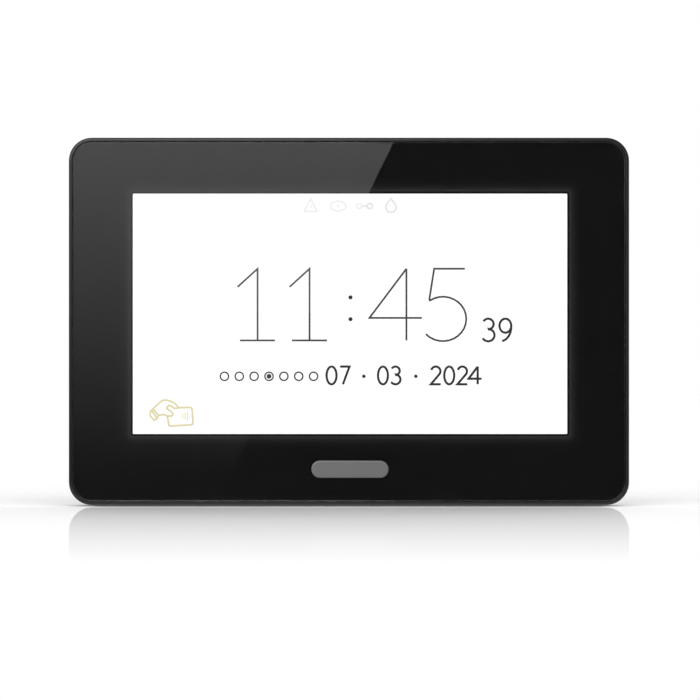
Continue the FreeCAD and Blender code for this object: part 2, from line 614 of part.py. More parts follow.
def make_flexes():
    """Two flat cables, each folded round an edge of the bracket to its connector."""
    seat = "board_back_at - flex_seat"
    under = f"{seat} - flex_thickness"
    for name, front, start, sign, wide in (
        ("display_flex", "cell_back_at", "module_bottom", "-1", "lcd_flex_width"),
        ("touch_flex", "film_back_at - pocket_gap", "module_top", "1", "touch_flex_width"),
    ):
        tail = "lcd" if name == "display_flex" else "touch"
        outer = f"{start} + ({sign}) * flex_reach"
        inner = f"{outer} - ({sign}) * flex_thickness"
        edge = f"{tail}_connector_z + ({sign}) * {tail}_connector_height / 2"
        end = f"{edge} - ({sign}) * flex_lap"
        Piece(name).side_profile(name, [
            (front, start), (front, outer), (under, outer), (under, end),
            (seat, end), (seat, inner),
            (f"{front} - flex_thickness", inner), (f"{front} - flex_thickness", start),
        ], "window_shift", wide)


def make_card():
    socket = Piece("card_socket")
    inner = "card_top_at - card_thickness - card_gap"
    socket.block("shell", "card_x", "card_z", "socket_side", "socket_side",
                 ("socket_back_at", "board_back_at"))
    socket.box("slot", ("card_right - card_length - card_gap", "card_x + socket_side"),
               (inner, "card_top_at + card_gap"),
               ("card_z - card_width / 2 - card_gap", "card_z + card_width / 2 + card_gap"),
               cut=True)
    card = Piece("memory_card")
    card.box("card", ("card_right - card_length", "card_right"),
             ("card_top_at - card_thickness", "card_top_at"),
             ("card_z - card_width / 2", "card_z + card_width / 2"))


def make_terminals():
    header = Piece("terminal_header")
    header.box("body", ("-header_half", "header_half"), ("header_back_at", "board_back_at"),
               ("header_bottom", "header_top"))
    header.box("mouth", ("-(plug_width / 2 + plug_gap)", "plug_width / 2 + plug_gap"),
               ("plug_back_at - plug_gap", "plug_front_at + plug_gap"),
               ("plug_bottom - plug_gap", "header_top"), cut=True)
    pins = Piece("terminal_pins")
    plug = Piece("terminal_plug")
    plug.box("body", ("-plug_width / 2", "plug_width / 2"), ("plug_back_at", "plug_front_at"),
             ("plug_bottom", "plug_top"))
    screws = Piece("terminal_screws")
    core = "(plug_back_at + plug_front_at) / 2"
    upright = FreeCAD.Rotation()
    for n in range(int(number("terminal_count"))):
        x = f"({n} - (terminal_count - 1) / 2) * terminal_pitch"
        tip = "header_top - pin_side"
        side = "pin_side / 2"
        pins.box(f"pin_{n + 1}", (f"{x} - {side}", f"{x} + {side}"),
                 (f"{core} - {side}", f"{core} + {side}"),
                 ("plug_bottom - plug_gap", tip))
        room = f"{side} + pin_gap"
        plug.box(f"pin_room_{n + 1}", (f"{x} - ({room})", f"{x} + {room}"),
                 (f"{core} - ({room})", f"{core} + {room}"),
                 ("plug_bottom", "header_top"), cut=True)
        plug.feature("SubtractiveCylinder", f"wire_hole_{n + 1}", upright, x=x,
                     y=f"-({core})", z="plug_top - wire_depth", Radius="wire_hole",
                     Height="wire_depth")
        spot = "plug_top - wire_depth / 2"
        plug.rod(f"screw_spot_{n + 1}", x, spot, "screw_spot + thread_gap",
                 ("plug_back_at", "plug_back_at + screw_depth"), cut=True)
        screws.rod(f"screw_{n + 1}", x, spot, "screw_spot",
                   ("plug_back_at", "plug_back_at + screw_depth"))
        screws.block(f"slot_{n + 1}", x, spot, "2 * screw_spot", "cross_width",
                     ("plug_back_at", "plug_back_at + screw_depth / 2"), cut=True)


def make_tamper():
    spot = ("tamper_x", "tamper_z")
    switch = Piece("tamper_switch")
    switch.block("case", *spot, "switch_side", "switch_side", ("switch_top_at", "board_back_at"))
    switch.rod("guide", *spot, "plunger_radius + plunger_gap",
               ("switch_top_at", "switch_top_at + plunger_sunk + plunger_press + plunger_gap"),
               cut=True)
    plunger = Piece("tamper_plunger")
    plunger.rod("stem", *spot, "plunger_radius", ("0", "switch_top_at + plunger_sunk"))
    plunger.rod("collar", *spot, "collar_radius", ("collar_stand", "collar_top_at"))
    plunger.soften("Fillet", "tip", "plunger_radius / 2", lambda edge: lies_at(edge, "0"))

    coil = DOC.addObject("Part::Helix", "spring_path")
    mean = "(plunger_radius + spring_gap + spring_wire / 2)"
    length = "(switch_top_at - collar_top_at - spring_wire - 2 * plunger_gap)"
    coil.SegmentLength = 1
    coil.Placement.Rotation = FreeCAD.Rotation(FreeCAD.Vector(1, 0, 0), 90)
    for path, text in (("Radius", mean), ("Height", length), ("Pitch", f"{length} / spring_turns"),
                       ("Placement.Base.x", "tamper_x"), ("Placement.Base.z", "tamper_z"),
                       ("Placement.Base.y", "-(collar_top_at + spring_wire / 2 + plunger_gap)")):
        coil.setExpression(path, bound(text))
    wire = DOC.addObject("Part::Circle", "spring_section")
    for path, text in (("Radius", "spring_wire / 2"), ("Placement.Base.x", f"tamper_x + {mean}"),
                       ("Placement.Base.z", "tamper_z"),
                       ("Placement.Base.y", "-(collar_top_at + spring_wire / 2 + plunger_gap)")):
        wire.setExpression(path, bound(text))
    spring = DOC.addObject("Part::Sweep", "tamper_spring")
    spring.Label = "tamper_spring"
    spring.Sections = [wire]
    spring.Spine = (coil, [])
    spring.Solid = True
    spring.Frenet = True
    PIECES.append(spring)


def make_speaker():
    at = ("speaker_back_at", "seat_back_at")
    frame = Piece("speaker_frame")
    frame.block("frame", "speaker_x", "speaker_middle", "speaker_length", "speaker_height", at)
    frame.block("hollow", "speaker_x", "speaker_middle", "speaker_length - 2 * speaker_wall",
                "speaker_height - 2 * speaker_wall",
                ("speaker_back_at + speaker_wall", "seat_back_at"), cut=True)
    frame.block("throat", "speaker_x", "speaker_middle", "speaker_length - 6 * speaker_wall",
                "speaker_height - 4 * speaker_wall",
                ("speaker_back_at", "speaker_back_at + speaker_wall"), cut=True)
    cone = Piece("speaker_cone")
    cone.block("cone", "speaker_x", "speaker_middle", "speaker_length - 2 * speaker_wall",
               "speaker_height - 2 * speaker_wall",
               ("speaker_back_at + speaker_wall",
                "speaker_back_at + speaker_wall + cone_thickness"))
    magnet = Piece("speaker_magnet")
    magnet.rod("magnet", "speaker_x", "speaker_middle", "magnet_radius",
               ("seat_back_at - magnet_height", "seat_back_at"))


def make_antenna():
    loop = Piece("reader_antenna")
    at = ("seat_back_at - antenna_thickness", "seat_back_at")
    loop.rounded("loop", "antenna_length", "antenna_height", "antenna_track", at,
                 "antenna_x", "antenna_z")
    loop.rounded("inside", "antenna_length - 2 * antenna_track",
                 "antenna_height - 2 * antenna_track", "antenna_track / 2", at,
                 "antenna_x", "antenna_z", cut=True)


def make_wall_base():
    piece = Piece("wall_base")
    piece.rounded("plate", "base_width", "base_height", "base_radius", ("0", "base_depth"))
    flat, ease = "chin_width / 2", "(chin_width / 2 + chin_ease)"
    low = "-(half_height + chin_drop)"
    piece.polygon("chin", [
        (f"-{ease}", "base_wall - base_edge"), (f"-{ease}", "-half_height"),
        (f"-({flat})", low), (flat, low), (ease, "-half_height"),
        (ease, "base_wall - base_edge")], ("0", "base_depth"))
    piece.rounded("tray", "base_width - 2 * base_wall", "base_height - 2 * base_wall",
                  "base_radius - base_wall", ("base_floor", "base_depth"), cut=True)
    piece.rounded("back_recess", "base_width - 2 * recess_margin",
                  "base_height - 2 * recess_margin", "base_radius", ("0", "recess_depth"),
                  cut=True)
    back = ("0", "recess_depth")
    inner_x = "base_width / 2 - recess_margin"
    inner_z = "base_height / 2 - recess_margin"
    for z, side in both_sides("rib_z"):
        piece.box(f"rib_level_{side}", (f"-({inner_x})", inner_x), back,
                  (f"{z} - rib_width / 2", f"{z} + rib_width / 2"))
    for x, side in both_sides("cable_width / 2 + window_frame - rib_width / 2"):
        piece.box(f"rib_plumb_{side}", (f"{x} - rib_width / 2", f"{x} + rib_width / 2"), back,
                  (f"-({inner_z})", inner_z))
    piece.rounded("window_rim", "cable_width + 2 * window_frame",
                  "cable_height + 2 * window_frame", "cable_radius + window_frame", back, "0",
                  "cable_rise")
    piece.block("label_pad", "label_x", "label_z", "label_width + 2 * label_border",
                "label_height + 2 * label_border", ("label_thickness", "recess_depth"))
    piece.rod("tamper_boss", "tamper_x", "tamper_z", "tamper_boss", back)
    for x, side in both_sides("screw_span_x / 2"):
        for level, z in (("upper", "screw_span_z / 2"), ("lower", "-screw_span_z / 2")):
            name = f"{level}_{side}"
            piece.rod(f"screw_boss_{name}", x, z, "screw_boss_radius", back)
            run = "screw_slot_length - 2 * screw_slot_radius"
            through = ("0", "base_floor")
            piece.block(f"slot_{name}", x, z, run, "2 * screw_slot_radius", through, cut=True)
            for end in ("-1", "1"):
                piece.rod(f"slot_end_{name}", f"{x} + ({end}) * ({run}) / 2", z,
                          "screw_slot_radius", through, cut=True)
    piece.rod("tamper_hole", "tamper_x", "tamper_z", "tamper_hole", ("0", "base_floor"),
              cut=True)
    piece.rounded("cable_window", "cable_width", "cable_height", "cable_radius",
                  ("0", "base_floor"), "0", "cable_rise", cut=True)
    piece.box("knockout", ("-knockout_width / 2", "knockout_width / 2"),
              ("base_floor", "base_depth"),
              ("base_edge - base_wall + knockout_skin", "base_edge"), cut=True)
    for x, side in both_sides("pivot_x"):
        wide = "pivot_width"
        piece.block(f"hook_{side}", x, "base_edge - base_wall / 2", wide, "base_wall",
                    ("base_depth - base_wall", "pivot_at + hook_front"))
        piece.block(f"hook_web_{side}", x, "(base_edge + pivot_rise) / 2", wide,
                    "pivot_rise - base_edge", ("pivot_at - web_back", "pivot_at + web_front"))
        piece.bar(f"pivot_{side}", (f"{x} - {wide} / 2", f"{x} + {wide} / 2"), "pivot_at",
                  "pivot_rise", "pivot_radius")
    for x, side in both_sides("catch_x"):
        half = "(catch_width / 2 + catch_side_gap)"
        piece.bar(f"catch_seat_{side}", (f"{x} - {half}", f"{x} + {half}"), "base_floor",
                  "catch_middle", "catch_thickness / 2 + catch_gap", cut=True)
        piece.block(f"release_slot_{side}", x, "-half_height", "release_width",
                    "2 * (base_inset + base_wall)",
                    ("release_stand", "release_stand + release_height"), cut=True)
    label = Piece("rating_label")
    label.block("label", "label_x", "label_z", "label_width", "label_height",
                ("0", "label_thickness"))


def make_catches():
    """Springy tongues with a barb, one by each release slot."""
    for x, side in both_sides("catch_x"):
        piece = Piece(f"catch_{side}")
        top = "catch_under + catch_thickness"
        piece.side_profile("tongue", [
            ("base_floor", top), ("catch_reach", top),
            ("catch_reach", "catch_under - barb_drop + barb_lead"),
            ("catch_reach - barb_lead", "catch_under - barb_drop"),
            ("barb_back_at", "catch_under - barb_drop"), ("barb_back_at", "catch_under"),
            ("base_floor", "catch_under")], x, "catch_width")
        piece.bar("root", (f"{x} - catch_width / 2", f"{x} + catch_width / 2"), "base_floor",
                  "catch_middle", "catch_thickness / 2")


def check_document():
    """Stops if any object failed or any sub-part's shape is missing or invalid."""
    DOC.recompute()
    failed = [one.Name for one in DOC.Objects
              if "Invalid" in one.State or "Error" in one.State]
    if failed:
        raise SystemExit(f"failed objects: {failed}")
    for piece in PIECES:
        if piece.Shape.isNull() or not piece.Shape.isValid() or not piece.Shape.Solids:
            raise SystemExit(f"bad shape: {piece.Label}")


def write_steps():
    os.makedirs("parts", exist_ok=True)
    for piece in PIECES:
        piece.Shape.exportStep(f"parts/{piece.Label}.step")


make_front_frame()
make_glass_stack()
make_display()
make_bracket()
make_board()
make_flexes()
make_card()
make_terminals()
make_tamper()
make_speaker()
make_antenna()
make_wall_base()
make_catches()
check_document()
write_steps()
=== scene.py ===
"""The look of a wall-mounted alarm keypad with a lit touch screen, built round its frame.

X runs to the right as seen from the front, Z runs up, the wall is the plane Y = 0 and the
screen faces -Y. Every length below is in metres unless its name says otherwise.
"""

import math

import bmesh
import bpy
import numpy as np
from bpy.props import (
    FloatProperty,
    FloatVectorProperty,
    IntProperty,
    PointerProperty,
)
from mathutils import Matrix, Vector
from mathutils.bvhtree import BVHTree


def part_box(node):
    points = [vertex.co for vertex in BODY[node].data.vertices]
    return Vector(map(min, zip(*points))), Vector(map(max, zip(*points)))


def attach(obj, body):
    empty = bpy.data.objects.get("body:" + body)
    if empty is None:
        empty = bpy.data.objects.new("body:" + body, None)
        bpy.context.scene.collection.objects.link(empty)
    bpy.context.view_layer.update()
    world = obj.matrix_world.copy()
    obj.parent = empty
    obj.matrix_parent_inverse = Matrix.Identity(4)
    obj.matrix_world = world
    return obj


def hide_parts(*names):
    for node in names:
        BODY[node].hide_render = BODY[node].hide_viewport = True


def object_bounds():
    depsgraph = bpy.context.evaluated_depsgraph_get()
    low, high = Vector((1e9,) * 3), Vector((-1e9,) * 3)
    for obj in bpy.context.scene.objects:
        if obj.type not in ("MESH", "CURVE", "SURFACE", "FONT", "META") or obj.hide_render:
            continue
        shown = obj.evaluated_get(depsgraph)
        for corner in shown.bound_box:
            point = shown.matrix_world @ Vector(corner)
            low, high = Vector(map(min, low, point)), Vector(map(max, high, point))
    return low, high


bl_info = {
    "name": "Wall Keypad Look",
    "version": (1, 0, 0),
    "blender": (4, 5, 0),
    "location": "3D View > Sidebar > Keypad",
    "description": "Glass, screen picture, boards and finishes of a wall-mounted alarm keypad",
    "category": "Object",
}

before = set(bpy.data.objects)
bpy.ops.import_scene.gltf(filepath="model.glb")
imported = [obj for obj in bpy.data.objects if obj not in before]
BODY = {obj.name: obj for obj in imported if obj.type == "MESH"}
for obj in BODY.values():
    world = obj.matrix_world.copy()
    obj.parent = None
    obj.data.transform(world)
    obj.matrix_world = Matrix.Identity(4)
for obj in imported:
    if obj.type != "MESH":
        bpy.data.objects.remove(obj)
CAD_BOX = [[float(c) for c in corner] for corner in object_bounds()]

MM = 0.001


def box_of(node):
    """The lowest and highest corners of a CAD node at rest, as two arrays."""
    low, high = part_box(node)
    return np.array(low, float), np.array(high, float)


def middle_and_half(low, high):
    """The middle of a box and half its size."""
    return (low + high) / 2, (high - low) / 2


GLASS_LOW, GLASS_HIGH = box_of("cover_glass")
MASK_LOW, MASK_HIGH = box_of("mask_film")
FACE_LOW, FACE_HIGH = box_of("display_cell")
BOARD_LOW, BOARD_HIGH = box_of("main_board")
FRONT_LOW, FRONT_HIGH = box_of("front_frame")
BEZEL_LOW, BEZEL_HIGH = box_of("display_bezel")
PANEL_WIDTH = float(FRONT_HIGH[0] - FRONT_LOW[0])
SCREEN_X = float(BEZEL_LOW[0] + BEZEL_HIGH[0]) / 2
SCREEN_Z = float(BEZEL_LOW[2] + BEZEL_HIGH[2]) / 2


# ---------------------------------------------------------------- settings


def length(name, description, default, low=-1.0):
    """A setting in metres."""
    return FloatProperty(name=name, description=description, default=default, min=low,
                         unit="LENGTH")


def amount(name, description, default, high=100.0):
    """A setting that is a plain number from nothing up."""
    return FloatProperty(name=name, description=description, default=default, min=0, max=high)


def tone(name, description, default):
    """A colour setting."""
    return FloatVectorProperty(name=name, description=description, default=default,
                               subtype="COLOR", min=0, max=1)


class KeypadLookSettings(bpy.types.PropertyGroup):
    """Sizes and colours of the keypad's own pieces."""

    window_width: length("Window Width", "Clear window in the black print", 0.1520, 0.01)
    window_height: length("Window Height", "Clear window in the black print", 0.0841, 0.01)
    glass_round: length("Glass Edge", "Radius of the glass's polished front edge", 0.0004, 0.0001)
    housing_colour: tone("Housing", "Glossy plastic of the front frame", (0.005, 0.005, 0.0053))
    base_colour: tone("Wall Base", "Textured plastic of the wall base", (0.018, 0.018, 0.019))
    ink_colour: tone("Clock Ink", "Colour of the hour and minute digits", (0.068, 0.070, 0.074))
    small_ink: tone("Small Ink", "Colour of the seconds and the date", (0.035, 0.037, 0.040))
    pale_ink: tone("Status Ink", "Colour of the faint status marks", (0.89, 0.893, 0.898))
    card_ink: tone("Card Ink", "Colour of the card pictogram", (0.80, 0.737, 0.445))
    board_colour: tone("Board", "Solder mask of the circuit board", (0.012, 0.10, 0.045))
    screen_strength: amount("Screen Light", "Brightness of the lit screen", 1.15)
    # Painted light: the glow beside the window is emission of the print, standing in for screen
    # light spread through the glass.
    painted_halo_strength: amount("Halo Light", "Glow of the black print beside the window", 0.066)
    painted_halo_reach: length(
        "Halo Reach", "Distance over which the glow falls to a third", 0.00105, 0.0001)
    outline_steps: IntProperty(
        name="Corner Steps", description="Points round each rounded corner",
        default=20, min=3)


class KeypadStageSettings(bpy.types.PropertyGroup):
    """Camera, floor and lights."""

    camera_distance: length("Camera Distance", "From the glass to the camera", 2.4, 0.2)
    picture_width: length(
        "Picture Width", "Width that the picture spans at the glass", 0.2448, 0.05)
    picture_x: length("Picture Centre X", "Where the camera points", 0.00036)
    picture_z: length("Picture Centre Z", "Where the camera points", -0.0100)
    card_light: amount("Card Light", "Brightness of the card mirrored in the glass", 0.92)
    floor_mirror: amount("Floor Mirror", "How strongly the floor mirrors the keypad", 0.73, 1)
    floor_reach: length("Floor Mirror Reach", "Where the mirror image has faded out", 0.66, 0.05)


# ---------------------------------------------------------------- shapes


def rounded_outline(half_width, half_height, radius, steps):
    """Points round a rounded rectangle, anticlockwise, as an array of (x, z).

    Each corner is a quarter circle: corner centre + radius * (cos a, sin a), with a running
    through the corner's own quarter turn.
    """
    quarter = np.arange(4)[:, None]
    angle = (quarter + np.linspace(0, 1, steps)[None, :]) * math.pi / 2
    sign_x = np.array([1, -1, -1, 1])[:, None]
    sign_z = np.array([1, 1, -1, -1])[:, None]
    x = sign_x * (half_width - radius) + radius * np.cos(angle)
    z = sign_z * (half_height - radius) + radius * np.sin(angle)
    return np.stack([x.ravel(), z.ravel()], axis=1)


def grid_faces(rows, columns, wrap_rows=False, wrap_columns=True):
    """Quads between neighbouring points of a rows by columns grid, as an index array."""
    r = np.arange(rows if wrap_rows else rows - 1)[:, None]
    c = np.arange(columns if wrap_columns else columns - 1)[None, :]
    r_next, c_next = (r + 1) % rows, (c + 1) % columns
    quads = [r * columns + c, r * columns + c_next, r_next * columns + c_next,
             r_next * columns + c]
    return np.stack([q.ravel() for q in quads], axis=1)


class Build:
    """Gathers points and faces, then makes one mesh object from them."""

    def __init__(self):
        self.points = []
        self.faces = []
        self.slots = []
        self.count = 0

    def add(self, points, faces, slot=0):
        """Adds points (n, 3) and a list or array of faces that index them."""
        points = np.asarray(points, float)
        self.points.append(points)
        made = [[int(i) + self.count for i in face] for face in faces]
        self.faces.extend(made)
        self.slots.extend([slot] * len(made))
        self.count += len(points)

    def rings(self, rings, slot=0, loop=False):
        """Joins rings (r, n, 3) in order; the first and last are closed unless they loop."""
        rows, columns = rings.shape[:2]
        faces = grid_faces(rows, columns, wrap_rows=loop).tolist()
        if not loop:
            faces.append(list(range(columns))[::-1])
            faces.append(list(range((rows - 1) * columns, rows * columns)))
        self.add(rings.reshape(-1, 3), faces, slot)

    def copies(self, template, places, faces, slot=0):
        """One template (k, 3) repeated at every place (n, 3), worked out as whole arrays."""
        points = (template[None, :, :] + places[:, None, :]).reshape(-1, 3)
        steps = np.arange(len(places))[:, None, None] * len(template)
        self.add(points, (np.asarray(faces)[None] + steps).reshape(-1, len(faces[0])), slot)

    def make(self, name, body, materials, smooth=35.0):
        """The finished object: normals outwards, smooth but for its sharp edges."""
        mesh = bpy.data.meshes.new(name)
        mesh.from_pydata(np.concatenate(self.points).tolist(), [], self.faces)
        mesh.polygons.foreach_set("material_index", self.slots)
        tidy = bmesh.new()
        tidy.from_mesh(mesh)
        bmesh.ops.recalc_face_normals(tidy, faces=tidy.faces)
        tidy.to_mesh(mesh)
        tidy.free()
        for material in materials:
            mesh.materials.append(material)
        mesh.shade_smooth()
        mesh.set_sharp_from_angle(angle=math.radians(smooth))
        mesh.update()
        piece = bpy.data.objects.new(name, mesh)
        bpy.context.scene.collection.objects.link(piece)
        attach(piece, body)
        return piece


def at_depth(flat, y):
    """A flat outline of (x, z) points as (x, y, z) points, all at one y."""
    return np.stack([flat[:, 0], np.full(len(flat), y), flat[:, 1]], axis=1)


def slab_rings(half_width, half_height, radius, profile, centre, steps):
    """Rings of a slab: the outline moved in by each inset, at each y of the profile."""
    rings = []
    for inset, y in profile:
        flat = rounded_outline(half_width - inset, half_height - inset,
                               max(radius - inset, radius * 0.05), steps)
        rings.append(at_depth(flat + centre, y))
    return np.array(rings)


def edge_profile(across, deep, front, back, steps=8):
    """(inset, y) from the back face to a quarter-round front edge and onto the front face.

    The edge is a quarter of an ellipse: inset = across * (1 - cos a), y = front + deep *
    (1 - sin a). One more ring on each flat face keeps the shading of that face flat.
    """
    angle = np.linspace(0, math.pi / 2, steps)
    inset = across * (1 - np.cos(angle))
    y = front + deep * (1 - np.sin(angle))
    flat = 0.3 * MM
    return [(flat, back), (0.0, back), *zip(inset.tolist(), y.tolist()), (across + flat, front)]


def ribbon_rings(path, width, y, depth):
    """Rings of a flat line along a path (n, 2): each point moved sideways by half the width.

    The sideways direction is the mean of its neighbours' normals, lengthened by one over the
    cosine of half the turn so that a corner keeps its width.
    """
    path = np.asarray(path, float)
    ahead = np.diff(path, axis=0)
    ahead /= np.linalg.norm(ahead, axis=1, keepdims=True)
    before = np.concatenate([ahead[:1], ahead])
    after = np.concatenate([ahead, ahead[-1:]])
    mean = before + after
    mean /= np.maximum(np.linalg.norm(mean, axis=1, keepdims=True), 1e-9)
    half_turn = np.maximum(np.sum(mean * after, axis=1, keepdims=True), 0.35)
    side = np.stack([-mean[:, 1], mean[:, 0]], axis=1) * (width / 2) / half_turn
    left, right = path + side, path - side
    return np.stack([at_depth(left, y), at_depth(right, y), at_depth(right, y + depth),
                     at_depth(left, y + depth)], axis=1)


def arc(x, z, across, up, start, end, steps=22):
    """Points on an ellipse about (x, z), from one angle in degrees to another."""
    angle = np.radians(np.linspace(start, end, steps))
    return np.stack([x + across * np.cos(angle), z + up * np.sin(angle)], axis=1)


def smooth_path(points, steps=6):
    """A Catmull-Rom curve through points: a cubic between each two, its slope at a point
    being half the step between that point's neighbours."""
    p = np.asarray(points, float)
    p = np.concatenate([2 * p[:1] - p[1:2], p, 2 * p[-1:] - p[-2:-1]])
    t = np.linspace(0, 1, steps, endpoint=False)[None, :, None]
    a, b, c, d = (p[k:len(p) - 3 + k, None, :] for k in range(4))
    curve = 0.5 * (2 * b + (c - a) * t + (2 * a - 5 * b + 4 * c - d) * t ** 2
                   + (3 * b - a - 3 * c + d) * t ** 3)
    return np.concatenate([curve.reshape(-1, 2), p[-2:-1]])


BOX_CORNERS = np.array([(x, y, z) for x in (-0.5, 0.5) for y in (-0.5, 0.5)
                        for z in (-0.5, 0.5)])
BOX_FACES = [(0, 1, 3, 2), (4, 6, 7, 5), (0, 4, 5, 1), (2, 3, 7, 6), (0, 2, 6, 4), (1, 5, 7, 3)]


def disc_rings(x, z, radius, y, depth, steps=28):
    """Two rings of a round plate square to Y."""
    flat = arc(x, z, radius, radius, 0, 360 - 360 / steps, steps)
    return np.array([at_depth(flat, y), at_depth(flat, y + depth)])


def triangles_of(mesh):
    """The points (n, 3) of a triangle mesh and the three points of each face (m, 3)."""
    points = np.empty(len(mesh.vertices) * 3)
    mesh.vertices.foreach_get("co", points)
    corners = np.empty(len(mesh.loops), int)
    mesh.loops.foreach_get("vertex_index", corners)
    return points.reshape(-1, 3), corners.reshape(-1, 3)


def solid_boxes(node, axis):
    """The box of each separate solid of a node whose solids don't share any of one axis."""
    points, corners = triangles_of(BODY[node].data)
    triangles = points[corners]
    low, high = triangles.min(axis=1), triangles.max(axis=1)
    order = np.argsort(low[:, axis])
    low, high = low[order], high[order]
    reach = np.maximum.accumulate(high[:, axis])
    cuts = np.flatnonzero(low[1:, axis] > reach[:-1] + 1e-5) + 1
    return [(a.min(axis=0), b.max(axis=0))
            for a, b in zip(np.split(low, cuts), np.split(high, cuts))]


# ---------------------------------------------------------------- materials


class Nodes:
    """Short ways to add and join nodes in a tree."""

    def __init__(self, tree):
        self.tree = tree

    def add(self, kind, inputs=None, **settings):
        """Adds a node; inputs maps a socket's name or number to a value or another socket."""
        node = self.tree.nodes.new(f"ShaderNode{kind}")
        for key, value in settings.items():
            setattr(node, key, value)
        for key, value in (inputs or {}).items():
            self.feed(node.inputs[key], value)
        return node

    def feed(self, socket, value):
        if isinstance(value, bpy.types.NodeSocket):
            self.tree.links.new(value, socket)
        else:
            socket.default_value = value

    def math(self, operation, first, second=0.0, clamp=False):
        node = self.add("Math", {0: first, 1: second}, operation=operation, use_clamp=clamp)
        return node.outputs[0]

    def times(self, first, second):
        return self.math("MULTIPLY", first, second)

    def plus(self, first, second):
        return self.math("ADD", first, second)

    def minus(self, first, second):
        return self.math("SUBTRACT", first, second)

    def distance(self, place, middles, halves):
        """How far a place, given as two values, lies outside a rectangle."""
        over = []
        for value, middle, half in zip(place, middles, halves):
            off = self.math("ABSOLUTE", self.minus(value, middle))
            over.append(self.math("MAXIMUM", self.minus(off, half), 0.0))
        return self.math("SQRT", self.plus(self.times(over[0], over[0]),
                                           self.times(over[1], over[1])))

    def blend(self, factor, first, second):
        """A colour between two, by a factor."""
        node = self.add("Mix", data_type="RGBA")
        self.feed(node.inputs[0], factor)
        self.feed(node.inputs[6], first)
        self.feed(node.inputs[7], second)
        return node.outputs[2]

    def span(self, value, low, high, to_low, to_high):
        """Maps one range of a value to another, and holds it there."""
        node = self.add("MapRange", {"Value": value, "From Min": low, "From Max": high,
                                     "To Min": to_low, "To Max": to_high})
        return node.outputs[0]


def node_group(name, inputs, outputs, fill):
    """A shader node group with named sockets, built once."""
    found = bpy.data.node_groups.get(name)
    if found:
        return found
    group = bpy.data.node_groups.new(name, "ShaderNodeTree")
    for label, default in inputs:
        socket = group.interface.new_socket(name=label, in_out="INPUT",
                                            socket_type="NodeSocketFloat")
        socket.default_value = default
    for label in outputs:
        group.interface.new_socket(name=label, in_out="OUTPUT", socket_type="NodeSocketFloat")
    nodes = Nodes(group)
    taken = group.nodes.new("NodeGroupInput")
    given = group.nodes.new("NodeGroupOutput")
    for label, socket in fill(nodes, taken.outputs).items():
        nodes.feed(given.inputs[label], socket)
    return group


def grey(value):
    """A neutral colour."""
    return (value, value, value, 1.0)


def object_place(nodes):
    return nodes.add("TexCoord").outputs["Object"]


def fill_grain(nodes, taken):
    """Fine moulded grain: small cells with softer noise over them, and a slow cloud."""
    place = object_place(nodes)
    cells = nodes.add("TexVoronoi", {"Vector": place, "Scale": taken["Scale"]},
                      feature="SMOOTH_F1")
    fine = nodes.add("TexNoise", {"Vector": place, "Scale": taken["Scale"], "Detail": 4.0})
    slow = nodes.add("TexNoise", {"Vector": place, "Scale": taken["Cloud Scale"],
                                  "Detail": 3.0})
    height = nodes.plus(nodes.times(cells.outputs["Distance"], 0.6),
                        nodes.times(fine.outputs["Fac"], 0.5))
    return {"Height": height, "Cloud": slow.outputs["Fac"]}


def fill_brushed(nodes, taken):
    """Lines drawn along X: noise squeezed across the line and stretched along it."""
    place = object_place(nodes)
    squeezed = nodes.add("Mapping", {"Vector": place, "Scale": (0.02, 1.0, 1.0)})
    lines = nodes.add("TexNoise", {"Vector": squeezed.outputs[0], "Scale": taken["Scale"],
                                   "Detail": 5.0, "Roughness": 0.7})
    slow = nodes.add("TexNoise", {"Vector": place, "Scale": 60.0, "Detail": 2.0})
    return {"Height": lines.outputs["Fac"], "Cloud": slow.outputs["Fac"]}


def fill_smudge(nodes, taken):
    """Faint wiped smears and sparse specks, as they show on anything handled."""
    place = object_place(nodes)
    turned = nodes.add("Mapping", {"Vector": place, "Rotation": (0.0, 0.6, 0.0),
                                   "Scale": (0.35, 1.0, 1.0)})
    smear = nodes.add("TexNoise", {"Vector": turned.outputs[0], "Scale": taken["Scale"],
                                   "Detail": 6.0, "Roughness": 0.65, "Distortion": 0.8})
    speck = nodes.add("TexVoronoi", {"Vector": place, "Scale": 900.0}, feature="F1")
    dots = nodes.span(speck.outputs["Distance"], 0.03, 0.05, 1.0, 0.0)
    return {"Smear": nodes.span(smear.outputs["Fac"], 0.45, 0.75, 0.0, 1.0), "Specks": dots}


def fill_tracks(nodes, taken):
    """Copper runs under a board's mask: fine parallel lines whose direction changes from
    cell to cell, and small round pads."""
    place = object_place(nodes)
    split = nodes.add("SeparateXYZ", {"Vector": place})
    x, z = split.outputs["X"], split.outputs["Z"]
    cell = [nodes.math("FLOOR", nodes.times(v, taken["Cells"])) for v in (x, z)]
    joined = nodes.add("CombineXYZ", {"X": cell[0], "Y": cell[1]})
    pick = nodes.add("TexWhiteNoise", {"Vector": joined.outputs[0]}, noise_dimensions="3D")
    level = nodes.math("LESS_THAN", pick.outputs["Value"], 0.45)
    none = nodes.math("GREATER_THAN", pick.outputs["Value"], 0.86)
    along = nodes.plus(nodes.times(z, level), nodes.times(x, nodes.minus(1.0, level)))
    wave = nodes.math("FRACT", nodes.times(along, taken["Lines"]))
    line = nodes.math("LESS_THAN", wave, 0.42)
    track = nodes.times(line, nodes.minus(1.0, none))
    pads = nodes.add("TexVoronoi", {"Vector": place, "Scale": taken["Pads"],
                                    "Randomness": 0.7}, feature="F1",
                     voronoi_dimensions="3D")
    via = nodes.math("LESS_THAN", pads.outputs["Distance"], 0.13)
    return {"Tracks": track, "Pads": via}


def grain_group():
    return node_group("Moulded grain", [("Scale", 900.0), ("Cloud Scale", 30.0)],
                      ["Height", "Cloud"], fill_grain)


def brushed_group():
    return node_group("Brushed lines", [("Scale", 2400.0)], ["Height", "Cloud"], fill_brushed)


def smudge_group():
    return node_group("Smears and specks", [("Scale", 14.0)], ["Smear", "Specks"], fill_smudge)


